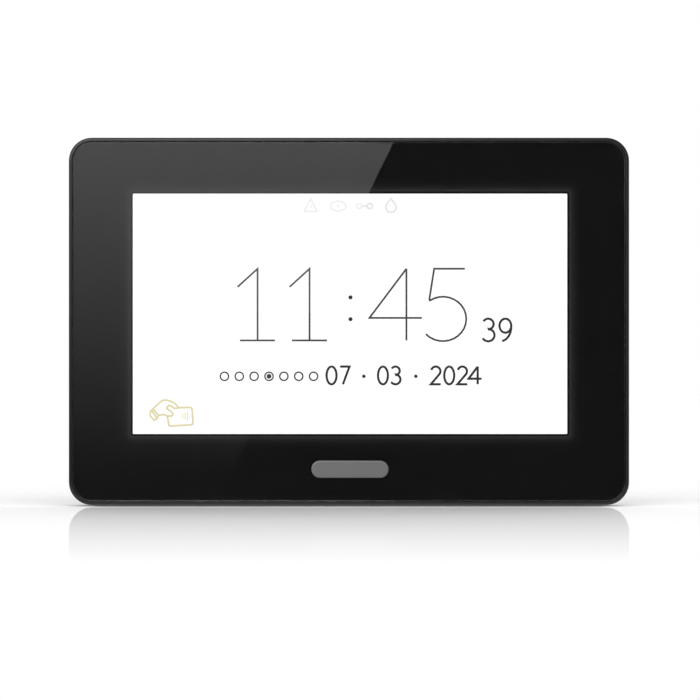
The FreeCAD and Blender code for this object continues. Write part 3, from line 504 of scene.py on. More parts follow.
def tracks_group():
    return node_group("Board tracks", [("Cells", 170.0), ("Lines", 1250.0), ("Pads", 260.0)],
                      ["Tracks", "Pads"], fill_tracks)


class Surface(Nodes):
    """A material with its Principled shader and the helpers of Nodes."""

    def __init__(self, name, colour, roughness, **plain):
        self.material = bpy.data.materials.new(name)
        self.material.use_nodes = True
        super().__init__(self.material.node_tree)
        self.shader = self.tree.nodes["Principled BSDF"]
        self.set("Base Color", (*colour, 1.0) if len(colour) == 3 else colour)
        self.set("Roughness", roughness)
        for label, value in plain.items():
            self.set(label.replace("_", " ").title().replace("Ior", "IOR"), value)

    def set(self, label, value):
        self.feed(self.shader.inputs[label], value)

    def group(self, group, **values):
        node = self.tree.nodes.new("ShaderNodeGroup")
        node.node_tree = group
        for label, value in values.items():
            self.feed(node.inputs[label.replace("_", " ").title()], value)
        return node.outputs

    def bump(self, height, strength, distance):
        node = self.add("Bump", {"Strength": strength, "Distance": distance, "Height": height})
        self.set("Normal", node.outputs[0])


def moulded(name, colour, roughness, grain, depth=0.01 * MM, spread=0.08, cloud=25.0):
    """Moulded plastic: fine grain in relief, roughness and tone drifting slowly."""
    made = Surface(name, colour, roughness)
    out = made.group(grain_group(), scale=grain, cloud_scale=cloud)
    made.set("Roughness", made.span(out["Cloud"], 0.3, 0.7, roughness - spread,
                                    roughness + spread))
    lighter = tuple(min(1.0, c * 1.18 + 0.001) for c in colour)
    darker = tuple(c * 0.86 for c in colour)
    made.set("Base Color", made.blend(out["Cloud"], (*darker, 1.0), (*lighter, 1.0)))
    made.bump(out["Height"], 0.35, depth)
    return made.material


def brushed(name, colour, roughness, scale=2400.0, depth=0.02 * MM, spread=0.1):
    """Brushed or rolled metal: drawn lines in relief and in roughness."""
    made = Surface(name, colour, roughness, metallic=1.0)
    out = made.group(brushed_group(), scale=scale)
    made.set("Roughness", made.span(out["Height"], 0.3, 0.7, roughness - spread,
                                    roughness + spread))
    darker = tuple(c * 0.8 for c in colour)
    made.set("Base Color", made.blend(out["Cloud"], (*darker, 1.0), (*colour, 1.0)))
    made.bump(out["Height"], 0.25, depth)
    return made.material


def gloss_black(name, colour, specular=0.5):
    """Polished black plastic: a faint orange-peel wave, smears only in its gloss."""
    made = Surface(name, colour, 0.16, specular_ior_level=specular)
    smear = made.group(smudge_group(), scale=22.0)
    made.set("Roughness", made.span(smear["Smear"], 0.0, 1.0, 0.15, 0.18))
    peel = made.group(grain_group(), scale=260.0, cloud_scale=20.0)
    made.bump(peel["Cloud"], 0.02, 0.02 * MM)
    made.set("Base Color", made.blend(smear["Specks"], (*colour, 1.0), (0.012, 0.012, 0.012, 1.0)))
    return made.material


def glow(name, colour, strength):
    """A lit spot of the display, whose light is its colour."""
    made = Surface(name, (0.0, 0.0, 0.0), 1.0, specular_ior_level=0.0)
    made.set("Emission Color", (*colour, 1.0))
    made.set("Emission Strength", strength)
    return made.material


def clear_glass(name, tint, ior):
    """Clear polished glass."""
    return Surface(name, tint, 0.0, transmission_weight=1.0, ior=ior).material


def border_print_and_painted_glow(name, look):
    """Black print behind the glass, with a painted glow beside the window.

    The glow is painted light: emission of the print standing in for the screen's light spread
    through the glass. It is strength * exp(-d / reach), with d the distance to the window's
    rectangle, and is cut to nothing in the first three quarters of a millimetre.
    """
    made = Surface(name, (0.003, 0.003, 0.0033), 0.6, specular_ior_level=0.1)
    grain = made.group(grain_group(), scale=1500.0, cloud_scale=18.0)
    made.set("Base Color", made.blend(grain["Cloud"], (0.0035, 0.0035, 0.0037, 1.0),
                                      (0.005, 0.005, 0.0052, 1.0)))
    split = made.add("SeparateXYZ", {"Vector": object_place(made)})
    distance = made.distance((split.outputs["X"], split.outputs["Z"]), (SCREEN_X, SCREEN_Z),
                             (look.window_width / 2, look.window_height / 2))
    # Painted glow: screen light spilling through the glass, painted as the print's emission and
    # fading away from the window.
    fall = made.math("EXPONENT", made.math("DIVIDE", distance, -look.painted_halo_reach))
    shown = made.span(distance, 0.7 * MM, 0.86 * MM, 0.0, 1.0)
    value = made.times(fall, shown)
    painted_glow_colour = made.add("CombineColor", {0: value, 1: value, 2: value})
    made.set("Emission Color", painted_glow_colour.outputs[0])
    made.set("Emission Strength", look.painted_halo_strength)
    return made.material


def solder_mask(name, colour):
    """Green solder mask: copper runs show lighter and stand a hair proud, pads are tinned."""
    made = Surface(name, colour, 0.35, coat_weight=0.4, coat_roughness=0.2)
    out = made.group(tracks_group())
    grain = made.group(grain_group(), scale=1200.0, cloud_scale=40.0)
    run = tuple(min(1.0, c * 1.9 + 0.01) for c in colour)
    tone = made.blend(out["Tracks"], (*colour, 1.0), (*run, 1.0))
    made.set("Base Color", made.blend(out["Pads"], tone, (0.55, 0.55, 0.5, 1.0)))
    made.set("Metallic", out["Pads"])
    made.set("Roughness", made.span(grain["Cloud"], 0.3, 0.7, 0.28, 0.42))
    made.bump(made.plus(out["Tracks"], out["Pads"]), 0.4, 0.04 * MM)
    return made.material


def paint(material, *nodes):
    """Gives CAD nodes a material and hands it back."""
    for node in nodes:
        mesh = BODY[node].data
        mesh.materials.clear()
        mesh.materials.append(material)
    return material


# ---------------------------------------------------------------- digits

DIGITS = {
    "0": lambda: [arc(0, 0.5, 0.28, 0.5, 90, 450, 34)],
    "1": lambda: [np.array([(-0.279, 0.746), (0, 1), (0, 0)]),
                  np.array([(-0.247, 0), (0.244, 0)])],
    "2": lambda: [np.concatenate([arc(0, 0.735, 0.26, 0.265, 165, -38),
                                  [(-0.28, 0), (0.28, 0)]])],
    "3": lambda: [np.concatenate([arc(-0.02, 0.765, 0.24, 0.235, 150, -82),
                                  arc(-0.02, 0.272, 0.28, 0.272, 84, -150)])],
    "4": lambda: [np.array([(0.14, 1), (-0.376, 0.314), (0.356, 0.314)]),
                  np.array([(0.14, 1), (0.14, 0)])],
    "5": lambda: [np.concatenate([[(0.222, 1), (-0.206, 1), (-0.273, 0.577)],
                                  arc(-0.084, 0.3, 0.326, 0.31, 124, -137)])],
    "7": lambda: [np.array([(-0.26, 1), (0.27, 1), (-0.1, 0)])],
    "9": lambda: [arc(0, 0.69, 0.26, 0.31, 0, 360, 30), arc(-0.23, 0.64, 0.49, 0.64, 6, -80)],
}


def draw_digits(build, row, height, width, y, depth):
    """Digits on the screen: row holds (digit, middle x, base line z)."""
    for digit, x, z in row:
        for stroke in DIGITS[digit]():
            build.rings(ribbon_rings(stroke * height + (x, z), width, y, depth))


def draw_loop(build, path, width, y, depth):
    """A closed line: its rings join head to tail."""
    around = np.concatenate([path[-1:], path, path[:1]])
    build.rings(ribbon_rings(around, width, y, depth)[1:-1], loop=True)


# ---------------------------------------------------------------- operators


class PieceOperator:
    """What every piece's operator shares."""

    bl_options = {"REGISTER", "UNDO"}

    @property
    def look(self):
        return bpy.context.scene.keypad_look


class KEYPAD_OT_cover_glass(PieceOperator, bpy.types.Operator):
    """Cover glass with a polished, rounded front edge."""

    bl_idname = "keypad.cover_glass"
    bl_label = "Cover Glass"

    def execute(self, context):
        look = self.look
        centre, half = middle_and_half(GLASS_LOW, GLASS_HIGH)
        corner = 6.6 * MM
        profile = edge_profile(look.glass_round, look.glass_round, float(GLASS_LOW[1]),
                               float(GLASS_HIGH[1]))
        build = Build()
        build.rings(slab_rings(half[0], half[2], corner, profile, (centre[0], centre[2]),
                               look.outline_steps))
        glass = build.make("cover_glass_sheet", "front",
                           [clear_glass("Cover Glass", (1.0, 1.0, 1.0), 1.45)])
        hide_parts("cover_glass")
        return {"FINISHED"}


class KEYPAD_OT_border_print(PieceOperator, bpy.types.Operator):
    """Black printed border round the window, behind the glass, with a painted glow beside the
    window.
    """

    bl_idname = "keypad.border_print"
    bl_label = "Border Print and Painted Glow"

    def execute(self, context):
        look = self.look
        half = (MASK_HIGH - MASK_LOW) / 2
        corner = 6.4 * MM
        front, back = float(MASK_LOW[1]) + 0.01 * MM, float(MASK_HIGH[1])
        steps = look.outline_steps
        outer = rounded_outline(half[0], half[2], corner, steps)
        inner = rounded_outline(look.window_width / 2, look.window_height / 2, 0.3 * MM, steps)
        inner = inner + (SCREEN_X, SCREEN_Z)
        rings = np.array([at_depth(outer, back), at_depth(outer, front),
                          at_depth(inner, front), at_depth(inner, back)])
        build = Build()
        build.rings(rings, loop=True)
        # This material is the black print together with painted light: a glow that stands in for
        # screen light beside the window.
        made = build.make("border_print_and_painted_glow", "front", [border_print_and_painted_glow("Border Print and Painted Glow", look)])
        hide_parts("mask_film")
        return {"FINISHED"}


class KEYPAD_OT_screen(PieceOperator, bpy.types.Operator):
    """Lit display with its clock, date, status marks and card pictogram."""

    bl_idname = "keypad.screen"
    bl_label = "Screen Picture"

    clock_height: length("Clock Height", "Height of the hour and minute digits", 0.0251, 0.001)
    seconds_height: length("Seconds Height", "Height of the second digits", 0.0079, 0.001)
    date_height: length("Date Height", "Height of the date digits", 0.0062, 0.001)

    def ink(self, name, build, colour, strength=1.0):
        piece = build.make(name, "front", [glow(name.replace("_", " ").title(), colour,
                                                strength)])

    def execute(self, context):
        look = self.look
        light = look.screen_strength
        paint(glow("Lit Display", (1.0, 1.0, 1.0), light), "display_cell")
        front = float(FACE_LOW[1])
        y, depth = front - 0.03 * MM, 0.02 * MM

        clock = Build()
        base = -6.65 * MM
        draw_digits(clock, [("1", -32.0 * MM, base), ("1", -13.8 * MM, base),
                            ("4", 16.6 * MM, base), ("5", 35.0 * MM, base)],
                    self.clock_height, 0.66 * MM, y, depth)
        self.ink("clock_digits", clock, look.ink_colour)

        small = Build()
        draw_digits(small, [("3", 48.9 * MM, -6.95 * MM), ("9", 54.75 * MM, -6.95 * MM)],
                    self.seconds_height, 0.8 * MM, y, depth)
        for z in (8.43 * MM, 0.80 * MM):
            small.rings(disc_rings(0.53 * MM, z, 0.72 * MM, y, depth))
        self.ink("seconds_digits", small, look.small_ink)

        date = Build()
        line = -22.0 * MM
        draw_digits(date, [("0", -6.1 * MM, line), ("7", -1.5 * MM, line),
                           ("0", 11.9 * MM, line), ("3", 16.4 * MM, line),
                           ("2", 30.4 * MM, line), ("0", 35.1 * MM, line),
                           ("2", 39.7 * MM, line), ("4", 44.2 * MM, line)],
                    self.date_height, 0.8 * MM, y, depth)
        for x in (5.2 * MM, 23.4 * MM):
            date.rings(disc_rings(x, line + self.date_height * 0.45, 0.62 * MM, y, depth))
        for day in range(7):
            x, z = (-43.6 + 5.2 * day) * MM, line + self.date_height * 0.45
            ring = arc(x, z, 1.45 * MM, 1.45 * MM, 0, 348, 30)
            draw_loop(date, ring, 0.5 * MM, y, depth)
            if day == 3:
                date.rings(disc_rings(x, z, 0.85 * MM, y, depth))
        self.ink("date_line", date, look.small_ink)

        self.status_marks(y, depth)
        self.card_mark(y, depth)
        return {"FINISHED"}

    def status_marks(self, y, depth):
        """Four faint marks: a triangle, an eye, a bar with two caps and a drop."""
        marks = Build()
        z, wide = 40.4 * MM, 0.8 * MM
        triangle = np.array([(0, 2.5), (-2.3, -1.9), (2.3, -1.9)]) * MM + (-13.4 * MM, z)
        draw_loop(marks, triangle, wide, y, depth)
        marks.rings(ribbon_rings(np.array([(-13.4, 40.9), (-13.4, 39.7)]) * MM, wide, y, depth))
        draw_loop(marks, arc(-3.8 * MM, z, 2.7 * MM, 1.7 * MM, 0, 352, 40), wide, y, depth)
        marks.rings(disc_rings(-3.8 * MM, z, 0.6 * MM, y, depth))
        for offset in (-1.9, 1.9):
            draw_loop(marks, arc((5.4 + offset) * MM, z, 0.9 * MM, 0.9 * MM, 0, 345, 20), wide,
                      y, depth)
        marks.rings(ribbon_rings(np.array([(4.4, 40.4), (6.4, 40.4)]) * MM, wide, y, depth))
        drop = np.concatenate([arc(14.7 * MM, z - 0.4 * MM, 1.8 * MM, 1.8 * MM, 150, 390),
                               [(14.7 * MM, z + 2.6 * MM)]])
        draw_loop(marks, drop, wide, y, depth)
        self.ink("status_marks", marks, self.look.pale_ink)

    def card_mark(self, y, depth):
        """A plain hand holding a card, with three arcs of radio waves; lengths in mm."""
        mark = Build()
        wide = 0.66 * MM
        wrist, knuckle, fold, palm = (-68.6, -30.6), (-59.6, -30.2), (-64.0, -30.3), (-66.7, -32.9)
        card = [knuckle, (-55.7, -30.1), (-55.1, -30.3), (-54.9, -30.9), (-54.6, -35.4),
                (-54.7, -35.9), (-55.3, -36.2), (-62.5, -36.6), (-63.0, -36.5), (-63.1, -36.0),
                (-63.6, -33.1)]
        cuff = [palm, (-67.1, -33.9), (-68.2, -34.6), (-69.5, -33.2), (-69.6, -31.6), wrist]
        for path in (card, cuff, [wrist, palm], [(-69.0, -31.3), (-67.4, -33.6)]):
            mark.rings(ribbon_rings(np.array(path) * MM, wide, y, depth))
        back = [wrist, (-66.9, -29.0), (-65.3, -27.7), (-63.7, -27.6), (-62.1, -28.1),
                (-60.9, -28.8), knuckle]
        thumb = [fold, (-62.8, -29.4), (-61.3, -30.3), (-60.5, -30.4), knuckle]
        finger = [fold, (-63.1, -31.0), (-62.2, -31.6), (-61.7, -32.4), (-62.1, -33.1),
                  (-63.5, -33.1), (-65.1, -32.6), palm]
        for path in (back, thumb, finger):
            mark.rings(ribbon_rings(smooth_path(path) * MM, wide, y, depth))
        for reach in (1.4, 2.3, 3.2):
            waves = arc(-59.6 * MM, -33.1 * MM, reach * MM, reach * MM, -30, 30, 12)
            mark.rings(ribbon_rings(waves, 0.32 * MM, y, depth))
        self.ink("card_mark", mark, self.look.card_ink)


class KEYPAD_OT_badge(PieceOperator, bpy.types.Operator):
    """Blank satin silver badge with a crowned face."""

    bl_idname = "keypad.badge"
    bl_label = "Badge"

    def execute(self, context):
        low, high = box_of("badge")
        centre, half = middle_and_half(low, high)
        radius = float(half[2]) - 0.02 * MM
        depth = float(high[1] - low[1])
        profile = edge_profile(0.55 * MM, depth * 0.75, float(low[1]), float(high[1]))
        build = Build()
        build.rings(slab_rings(half[0], half[2], radius, profile, (centre[0], centre[2]), 16))
        made = build.make("silver_badge", "front",
                          [brushed("Satin Silver", (0.25, 0.25, 0.255), 0.42, 3200.0)], 50.0)
        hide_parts("badge")
        return {"FINISHED"}


class KEYPAD_OT_housing(PieceOperator, bpy.types.Operator):
    """Finishes of the front frame, the wall base and its catches."""

    bl_idname = "keypad.housing"
    bl_label = "Housing"

    def execute(self, context):
        look = self.look
        paint(gloss_black("Gloss Housing", tuple(look.housing_colour), 0.6), "front_frame")
        base = paint(moulded("Textured Base", tuple(look.base_colour), 0.55, 1400.0, 0.03 * MM),
                     "wall_base")
        paint(moulded("Catch Plastic", tuple(look.base_colour), 0.5, 1400.0, 0.02 * MM),
              "catch_left", "catch_right")
        self.back_details(base)
        return {"FINISHED"}

    def back_details(self, base):
        """Ejector marks moulded in the base's back, and the blank label's printed frame."""
        marks = Build()
        for x in (-80.0, -20.0, 20.0, 80.0):
            for z in (-48.0, 48.0):
                ring = arc(x * MM, z * MM, 2.2 * MM, 2.2 * MM, 0, 348, 30)
                draw_loop(marks, ring, 0.3 * MM, -0.85 * MM, 0.1 * MM)
        made = marks.make("ejector_marks", "base", [base])
        low, high = box_of("rating_label")
        paint(brushed("Label Film", (0.55, 0.55, 0.56), 0.5, 1800.0, 0.01 * MM), "rating_label")
        centre, half = middle_and_half(low, high)
        lines = Build()
        border = rounded_outline(half[0] - 1.2 * MM, half[2] - 1.2 * MM, 0.8 * MM, 6)
        draw_loop(lines, border + (centre[0], centre[2]), 0.2 * MM, -0.01 * MM, 0.012 * MM)
        for share in (-0.3, 0.3):
            z = centre[2] + share * half[2]
            span = np.array([(centre[0] - half[0] + 1.3 * MM, z),
                             (centre[0] + half[0] - 1.3 * MM, z)])
            lines.rings(ribbon_rings(span, 0.15 * MM, -0.01 * MM, 0.012 * MM))
        printed = lines.make("label_lines", "base",
                             [moulded("Label Ink", (0.02, 0.02, 0.02), 0.6, 1500.0)])


class KEYPAD_OT_display_parts(PieceOperator, bpy.types.Operator):
    """Finishes of the display module and the sheets round it."""

    bl_idname = "keypad.display_parts"
    bl_label = "Display Parts"

    def execute(self, context):
        paint(clear_glass("Sensor Glass", (1.0, 1.0, 1.0), 1.3), "touch_sensor")
        foam = moulded("Black Foam", (0.012, 0.012, 0.012), 0.9, 1100.0, 0.1 * MM)
        paint(foam, "display_gasket", "glass_adhesive")
        paint(brushed("Pressed Steel", (0.52, 0.53, 0.54), 0.32), "display_bezel")
        paint(moulded("Tray Plastic", (0.8, 0.81, 0.81), 0.5, 900.0, 0.02 * MM), "display_tray")
        milky = moulded("Milky Film", (0.85, 0.86, 0.86), 0.45, 1600.0)
        paint(milky, "diffuser_sheets", "light_guide", "backlight_leds")
        flex = moulded("Amber Flex", (0.42, 0.17, 0.03), 0.28, 600.0)
        paint(flex, "display_flex", "touch_flex", "led_strip", "reader_antenna")
        return {"FINISHED"}


class KEYPAD_OT_metalwork(PieceOperator, bpy.types.Operator):
    """Finishes of the bracket, screws, standoffs and spring."""

    bl_idname = "keypad.metalwork"
    bl_label = "Metalwork"

    def execute(self, context):
        paint(brushed("Zinc Bracket", (0.58, 0.59, 0.6), 0.3, 1500.0), "board_bracket")
        screw = brushed("Zinc Screw", (0.62, 0.62, 0.6), 0.28, 3000.0)
        paint(screw, "bracket_screws", "board_screws", "terminal_screws")
        paint(brushed("Turned Brass", (0.72, 0.52, 0.22), 0.25, 3000.0), "board_standoffs")
        paint(brushed("Tinned Pin", (0.75, 0.72, 0.62), 0.25, 3000.0), "terminal_pins")
        paint(brushed("Spring Wire", (0.6, 0.6, 0.62), 0.22, 3000.0), "tamper_spring")
        return {"FINISHED"}


class KEYPAD_OT_board(PieceOperator, bpy.types.Operator):
    """Circuit board with its chips, legs, small parts and connectors."""

    bl_idname = "keypad.board"
    bl_label = "Circuit Board"

    small_parts: IntProperty(
        name="Small Parts", description="How many places are tried for tiny parts",
        default=900, min=0)
    seed: IntProperty(name="Seed", description="Seed of the small parts' places", default=7)

    def execute(self, context):
        paint(solder_mask("Solder Mask", tuple(self.look.board_colour)), "main_board")
        chip = paint(moulded("Chip Epoxy", (0.018, 0.018, 0.019), 0.5, 2600.0),
                     "processor", "memory_chips", "small_chips")
        paint(moulded("Ferrite", (0.05, 0.05, 0.053), 0.7, 1800.0, 0.03 * MM), "inductors")
        paint(brushed("Capacitor Can", (0.72, 0.72, 0.74), 0.25, 2600.0), "capacitors")
        paint(moulded("Sounder Body", (0.02, 0.02, 0.02), 0.4, 1800.0),
              "sounder", "speaker_frame")
        paint(moulded("Cone Film", (0.04, 0.04, 0.04), 0.5, 1500.0, 0.02 * MM), "speaker_cone")
        paint(brushed("Nickel", (0.66, 0.65, 0.62), 0.2), "speaker_magnet")
        tin = paint(brushed("Tinned Sheet", (0.7, 0.7, 0.68), 0.3, 2000.0),
                    "shield_can", "card_socket")
        nylon = moulded("Natural Nylon", (0.62, 0.58, 0.47), 0.45, 1500.0, 0.02 * MM)
        paint(nylon, "lcd_connector", "touch_connector", "antenna_connector",
              "speaker_connector")
        paint(moulded("White Acetal", (0.7, 0.7, 0.68), 0.35, 1500.0),
              "tamper_plunger")
        paint(moulded("Black Nylon", (0.02, 0.02, 0.02), 0.4, 1500.0),
              "tamper_switch", "memory_card")
        green = moulded("Terminal Plastic", (0.015, 0.17, 0.05), 0.38, 1300.0, 0.02 * MM)
        paint(green, "terminal_header", "terminal_plug")
        self.capacitor_tops()
        self.chip_marks()
        self.chip_legs(tin)
        self.passives(tin)
        self.latches(chip)
        return {"FINISHED"}

    def capacitor_tops(self):
        """A black half moon on each can, marking its negative side."""
        build = Build()
        for low, high in solid_boxes("capacitors", 0):
            centre, radius = (low + high) / 2, float(high[0] - low[0]) / 2 * 0.93
            moon = arc(centre[0], centre[2], radius, radius, 118, 242, 20)
            top = float(high[1])
            build.rings(np.array([at_depth(moon, top), at_depth(moon, top + 0.03 * MM)]))
        made = build.make("capacitor_marks", "front",
                          [moulded("Mark Ink", (0.01, 0.01, 0.012), 0.5, 1500.0)])

    def chip_marks(self):
        """A small moulded dot beside the first leg of each chip."""
        build = Build()
        chips = [box_of("processor"), *solid_boxes("memory_chips", 2)]
        for low, high in chips:
            build.rings(disc_rings(float(low[0]) + 1.5 * MM, float(high[2]) - 1.5 * MM,
                                   0.45 * MM, float(high[1]), 0.02 * MM, 20))
        made = build.make("chip_dots", "front",
                          [moulded("Chip Dot", (0.07, 0.07, 0.07), 0.4, 2600.0)])

    def chip_legs(self, tin):
        """Gull-wing legs: a short flat step down from each chip's side to the board."""
        board = float(BOARD_HIGH[1])
        build = Build()
        faces = grid_faces(4, 4).tolist() + [[3, 2, 1, 0], [12, 13, 14, 15]]
        rows = [(box_of("processor"), (0, 2), 18)]
        rows += [(pair, (0,), 11) for pair in solid_boxes("memory_chips", 2)]
        for (low, high), axes, count in rows:
            mid = board + (high[1] - board) * 0.45
            for axis in axes:
                other = 2 - axis
                spread = np.linspace(low[other] + 0.8 * MM, high[other] - 0.8 * MM, count)
                for side, edge in ((-1, low[axis]), (1, high[axis])):
                    steps = np.array([(0.0, mid), (0.35, mid), (0.6, board + 0.06 * MM),
                                      (1.15, board + 0.06 * MM)])
                    out = edge + side * steps[:, 0] * MM
                    ring = np.zeros((4, 4, 3))
                    for k, (across, lift) in enumerate(((-1, 0), (1, 0), (1, 1), (-1, 1))):
                        ring[:, k, axis] = out
                        ring[:, k, other] = across * 0.16 * MM
                        ring[:, k, 1] = steps[:, 1] + lift * 0.12 * MM
                    places = np.zeros((count, 3))
                    places[:, other] = spread
                    build.copies(ring.reshape(-1, 3), places, faces)
        made = build.make("chip_legs", "front", [tin])

    def passives(self, tin):
        """Hundreds of tiny two-ended parts on free board, seeded, clear of everything."""
        draw = np.random.default_rng(self.seed)
        board = float(BOARD_HIGH[1])
        covers = [o for name, o in BODY.items()
                  if name not in ("wall_base", "rating_label", "catch_left", "catch_right")]
        points, faces = [], []
        for cover in covers:
            spots, corners = triangles_of(cover.data)
            faces.extend((corners + len(points)).tolist())
            points.extend(spots.tolist())
        tree = BVHTree.FromPolygons(points, faces)
        edge = 2.5 * MM
        x = draw.uniform(BOARD_LOW[0] + edge, BOARD_HIGH[0] - edge, self.small_parts)
        z = draw.uniform(BOARD_LOW[2] + edge, BOARD_HIGH[2] - edge, self.small_parts)
        pitch = 0.9 * MM
        x, z = np.round(x / pitch) * pitch, np.round(z / pitch) * pitch
        level = draw.random(self.small_parts) < 0.5
        reach = 1.6 * MM
        kept = []
        for px, pz, lies in zip(x, z, level):
            if any(abs(px - kx) < 1.9 * MM and abs(pz - kz) < 1.9 * MM for kx, kz, _ in kept):
                continue
            corners = [(px + a * reach, pz + b * reach)
                       for a in (-1, 0, 1) for b in (-1, 0, 1)]
            hits = [tree.ray_cast(Vector((cx, 0.004, cz)), Vector((0, -1, 0)), 0.02)[0]
                    for cx, cz in corners]
            if all(hit is not None and abs(hit.y - board) < 0.02 * MM for hit in hits):
                kept.append((px, pz, bool(lies)))
        build = Build()
        tall = 0.5 * MM
        for lies in (True, False):
            spots = np.array([(px, board + tall / 2, pz) for px, pz, side in kept
                              if side == lies])
            if not len(spots):
                continue
            along = 0 if lies else 2
            size = np.array([0.8, 0.5, 0.8]) * MM
            size[along] = 1.0 * MM
            tip = size * 1.06
            tip[along] = 0.3 * MM
            shift = np.zeros(3)
            shift[along] = 0.5 * MM
            build.copies(BOX_CORNERS * size, spots, BOX_FACES, 0)
            for sign in (-1, 1):
                build.copies(BOX_CORNERS * tip + shift * sign, spots, BOX_FACES, 1)
        made = build.make("small_parts", "front",
                          [moulded("Ceramic", (0.22, 0.13, 0.08), 0.5, 2000.0), tin])

    def latches(self, dark):
        """Dark flip latches on the two flat cable connectors."""
        build = Build()
        for node, sign in (("lcd_connector", -1), ("touch_connector", 1)):
            low, high = box_of(node)
            centre, half = middle_and_half(low, high)
            size = np.array([half[0] * 1.9, 0.35 * MM, 1.4 * MM])
            place = np.array([[centre[0], high[1] + 0.17 * MM,
                               centre[2] + sign * (half[2] - 0.9 * MM)]])
            build.copies(BOX_CORNERS * size, place, BOX_FACES)
        made = build.make("connector_latches", "front", [dark])


class KEYPAD_OT_stage(bpy.types.Operator):
    """Pale floor, white backdrop, soft lights, a mirrored card and the camera."""

    bl_idname = "keypad.stage"
    bl_label = "Stage"
    bl_options = {"REGISTER", "UNDO"}

    def execute(self, context):
        stage = context.scene.keypad_stage
        self.floor(stage)
        self.world()
        self.mirrored_card(stage)
        self.light("front_light", (0.0, -1.0, 0.62), 60.0, 3.0)
        self.light("back_light", (0.2, 1.2, 0.9), 60.0, 2.0)
        self.camera(stage)
        context.scene.view_settings.view_transform = "Standard"
        return {"FINISHED"}

    def bare_material(self, name):
        """A new material with nothing but its output."""
        material = bpy.data.materials.new(name)
        material.use_nodes = True
        nodes = Nodes(material.node_tree)
        nodes.tree.nodes.remove(nodes.tree.nodes["Principled BSDF"])
        return material, nodes

    def plain_object(self, name, points, faces, material):
        mesh = bpy.data.meshes.new(name)
        mesh.from_pydata(points, [], faces)
        mesh.materials.append(material)
        made = bpy.data.objects.new(name, mesh)
        bpy.context.scene.collection.objects.link(made)
        return made

    def floor(self, stage):
        """A white floor that mirrors what stands on it, less and less further away."""
        material, nodes = self.bare_material("Studio Floor")
        split = nodes.add("SeparateXYZ", {"Vector": object_place(nodes)})
        low_y, high_y = CAD_BOX[0][1], CAD_BOX[1][1]
        middle_y, half_y = middle_and_half(low_y, high_y)
        away = nodes.distance((split.outputs["X"], split.outputs["Y"]), (0.0, middle_y),
                              (PANEL_WIDTH / 2, half_y))
        share = nodes.math("POWER", nodes.math("DIVIDE", away, stage.floor_reach,
                                               clamp=True), 1.15)
        near = nodes.minus(1.0, share)
        facing = nodes.add("LayerWeight", {"Blend": 0.5}).outputs["Facing"]
        grazing = nodes.math("POWER", facing, 24.0)
        before = nodes.math("LESS_THAN", split.outputs["Y"], low_y + 0.002)
        mirror = nodes.times(nodes.times(near, grazing),
                             nodes.times(before, stage.floor_mirror))
        diffuse = nodes.add("BsdfDiffuse", {"Color": grey(0.8)})
        bright = nodes.add("Emission", {"Color": grey(1.0), "Strength": 0.07})
        matt = nodes.add("AddShader", {0: diffuse.outputs[0], 1: bright.outputs[0]})
        gloss = nodes.add("BsdfGlossy", {"Color": grey(1.0), "Roughness": 0.0})
        mixed = nodes.add("MixShader", {0: mirror, 1: matt.outputs[0], 2: gloss.outputs[0]})
        output = nodes.tree.nodes["Material Output"]
        nodes.feed(output.inputs["Surface"], mixed.outputs[0])
        z, size = CAD_BOX[0][2] - 0.00005, 6.0
        points = [(-size, -size, z), (size, -size, z), (size, size, z), (-size, size, z)]
        floor = self.plain_object("studio_floor", points, [(0, 1, 2, 3)], material)
        floor.visible_glossy = False
        floor.visible_transmission = False

    def world(self):
        """White to the camera, an even grey to matt surfaces; to gloss, a ring of light round
        the camera, the white floor below and the white backdrop straight behind."""
        world = bpy.data.worlds.new("Studio")
        bpy.context.scene.world = world
        world.use_nodes = True
        nodes = Nodes(world.node_tree)
        way = nodes.add("SeparateXYZ", {"Vector": nodes.add("TexCoord").outputs["Generated"]})
        side = nodes.add("ValToRGB", {"Fac": nodes.span(way.outputs["Y"], -1.0, 1.0, 0.0, 1.0)})
        ramp = side.color_ramp
        for at, value in ((0.008, 0.03), (0.018, 1.0), (0.05, 0.9), (0.09, 0.25),
                          (0.5, 0.16), (0.97, 0.1), (0.985, 1.0)):
            ramp.elements.new(at).color = grey(value)
        ramp.elements[0].color = grey(0.03)
        ramp.elements[-1].color = grey(1.0)
        below = nodes.times(nodes.span(way.outputs["Z"], -0.05, -0.3, 0.0, 0.7),
                            nodes.span(way.outputs["Y"], -0.97, -0.85, 0.0, 1.0))
        ring = nodes.times(side.outputs["Color"],
                           nodes.span(way.outputs["X"], -0.1, -0.25, 1.0, 1.6))
        glossy = nodes.blend(below, ring, grey(0.7))
        path = nodes.add("LightPath").outputs
        unseen = nodes.blend(path["Is Diffuse Ray"], glossy, grey(0.3))
        colour = nodes.blend(path["Is Camera Ray"], unseen, grey(1.0))
        background = nodes.tree.nodes["Background"]
        nodes.feed(background.inputs["Color"], colour)
        background.inputs["Strength"].default_value = 1.0

    def mirrored_card(self, stage):
        """A lit card before the keypad, seen only in its gloss.

        Its light rises with height as ((z - bottom) / span) ** 1.25, and its right edge
        leans, so the glass shows a slanted, fading reflection.
        """
        glass_front = float(GLASS_LOW[1])
        before = 1.2
        scale = before / (stage.camera_distance + glass_front)

        def seen_at(x, z):
            """Where a ray off the glass at (x, z) meets the card's plane."""
            return (x + (x - stage.picture_x) * scale, z + (z - stage.picture_z) * scale)

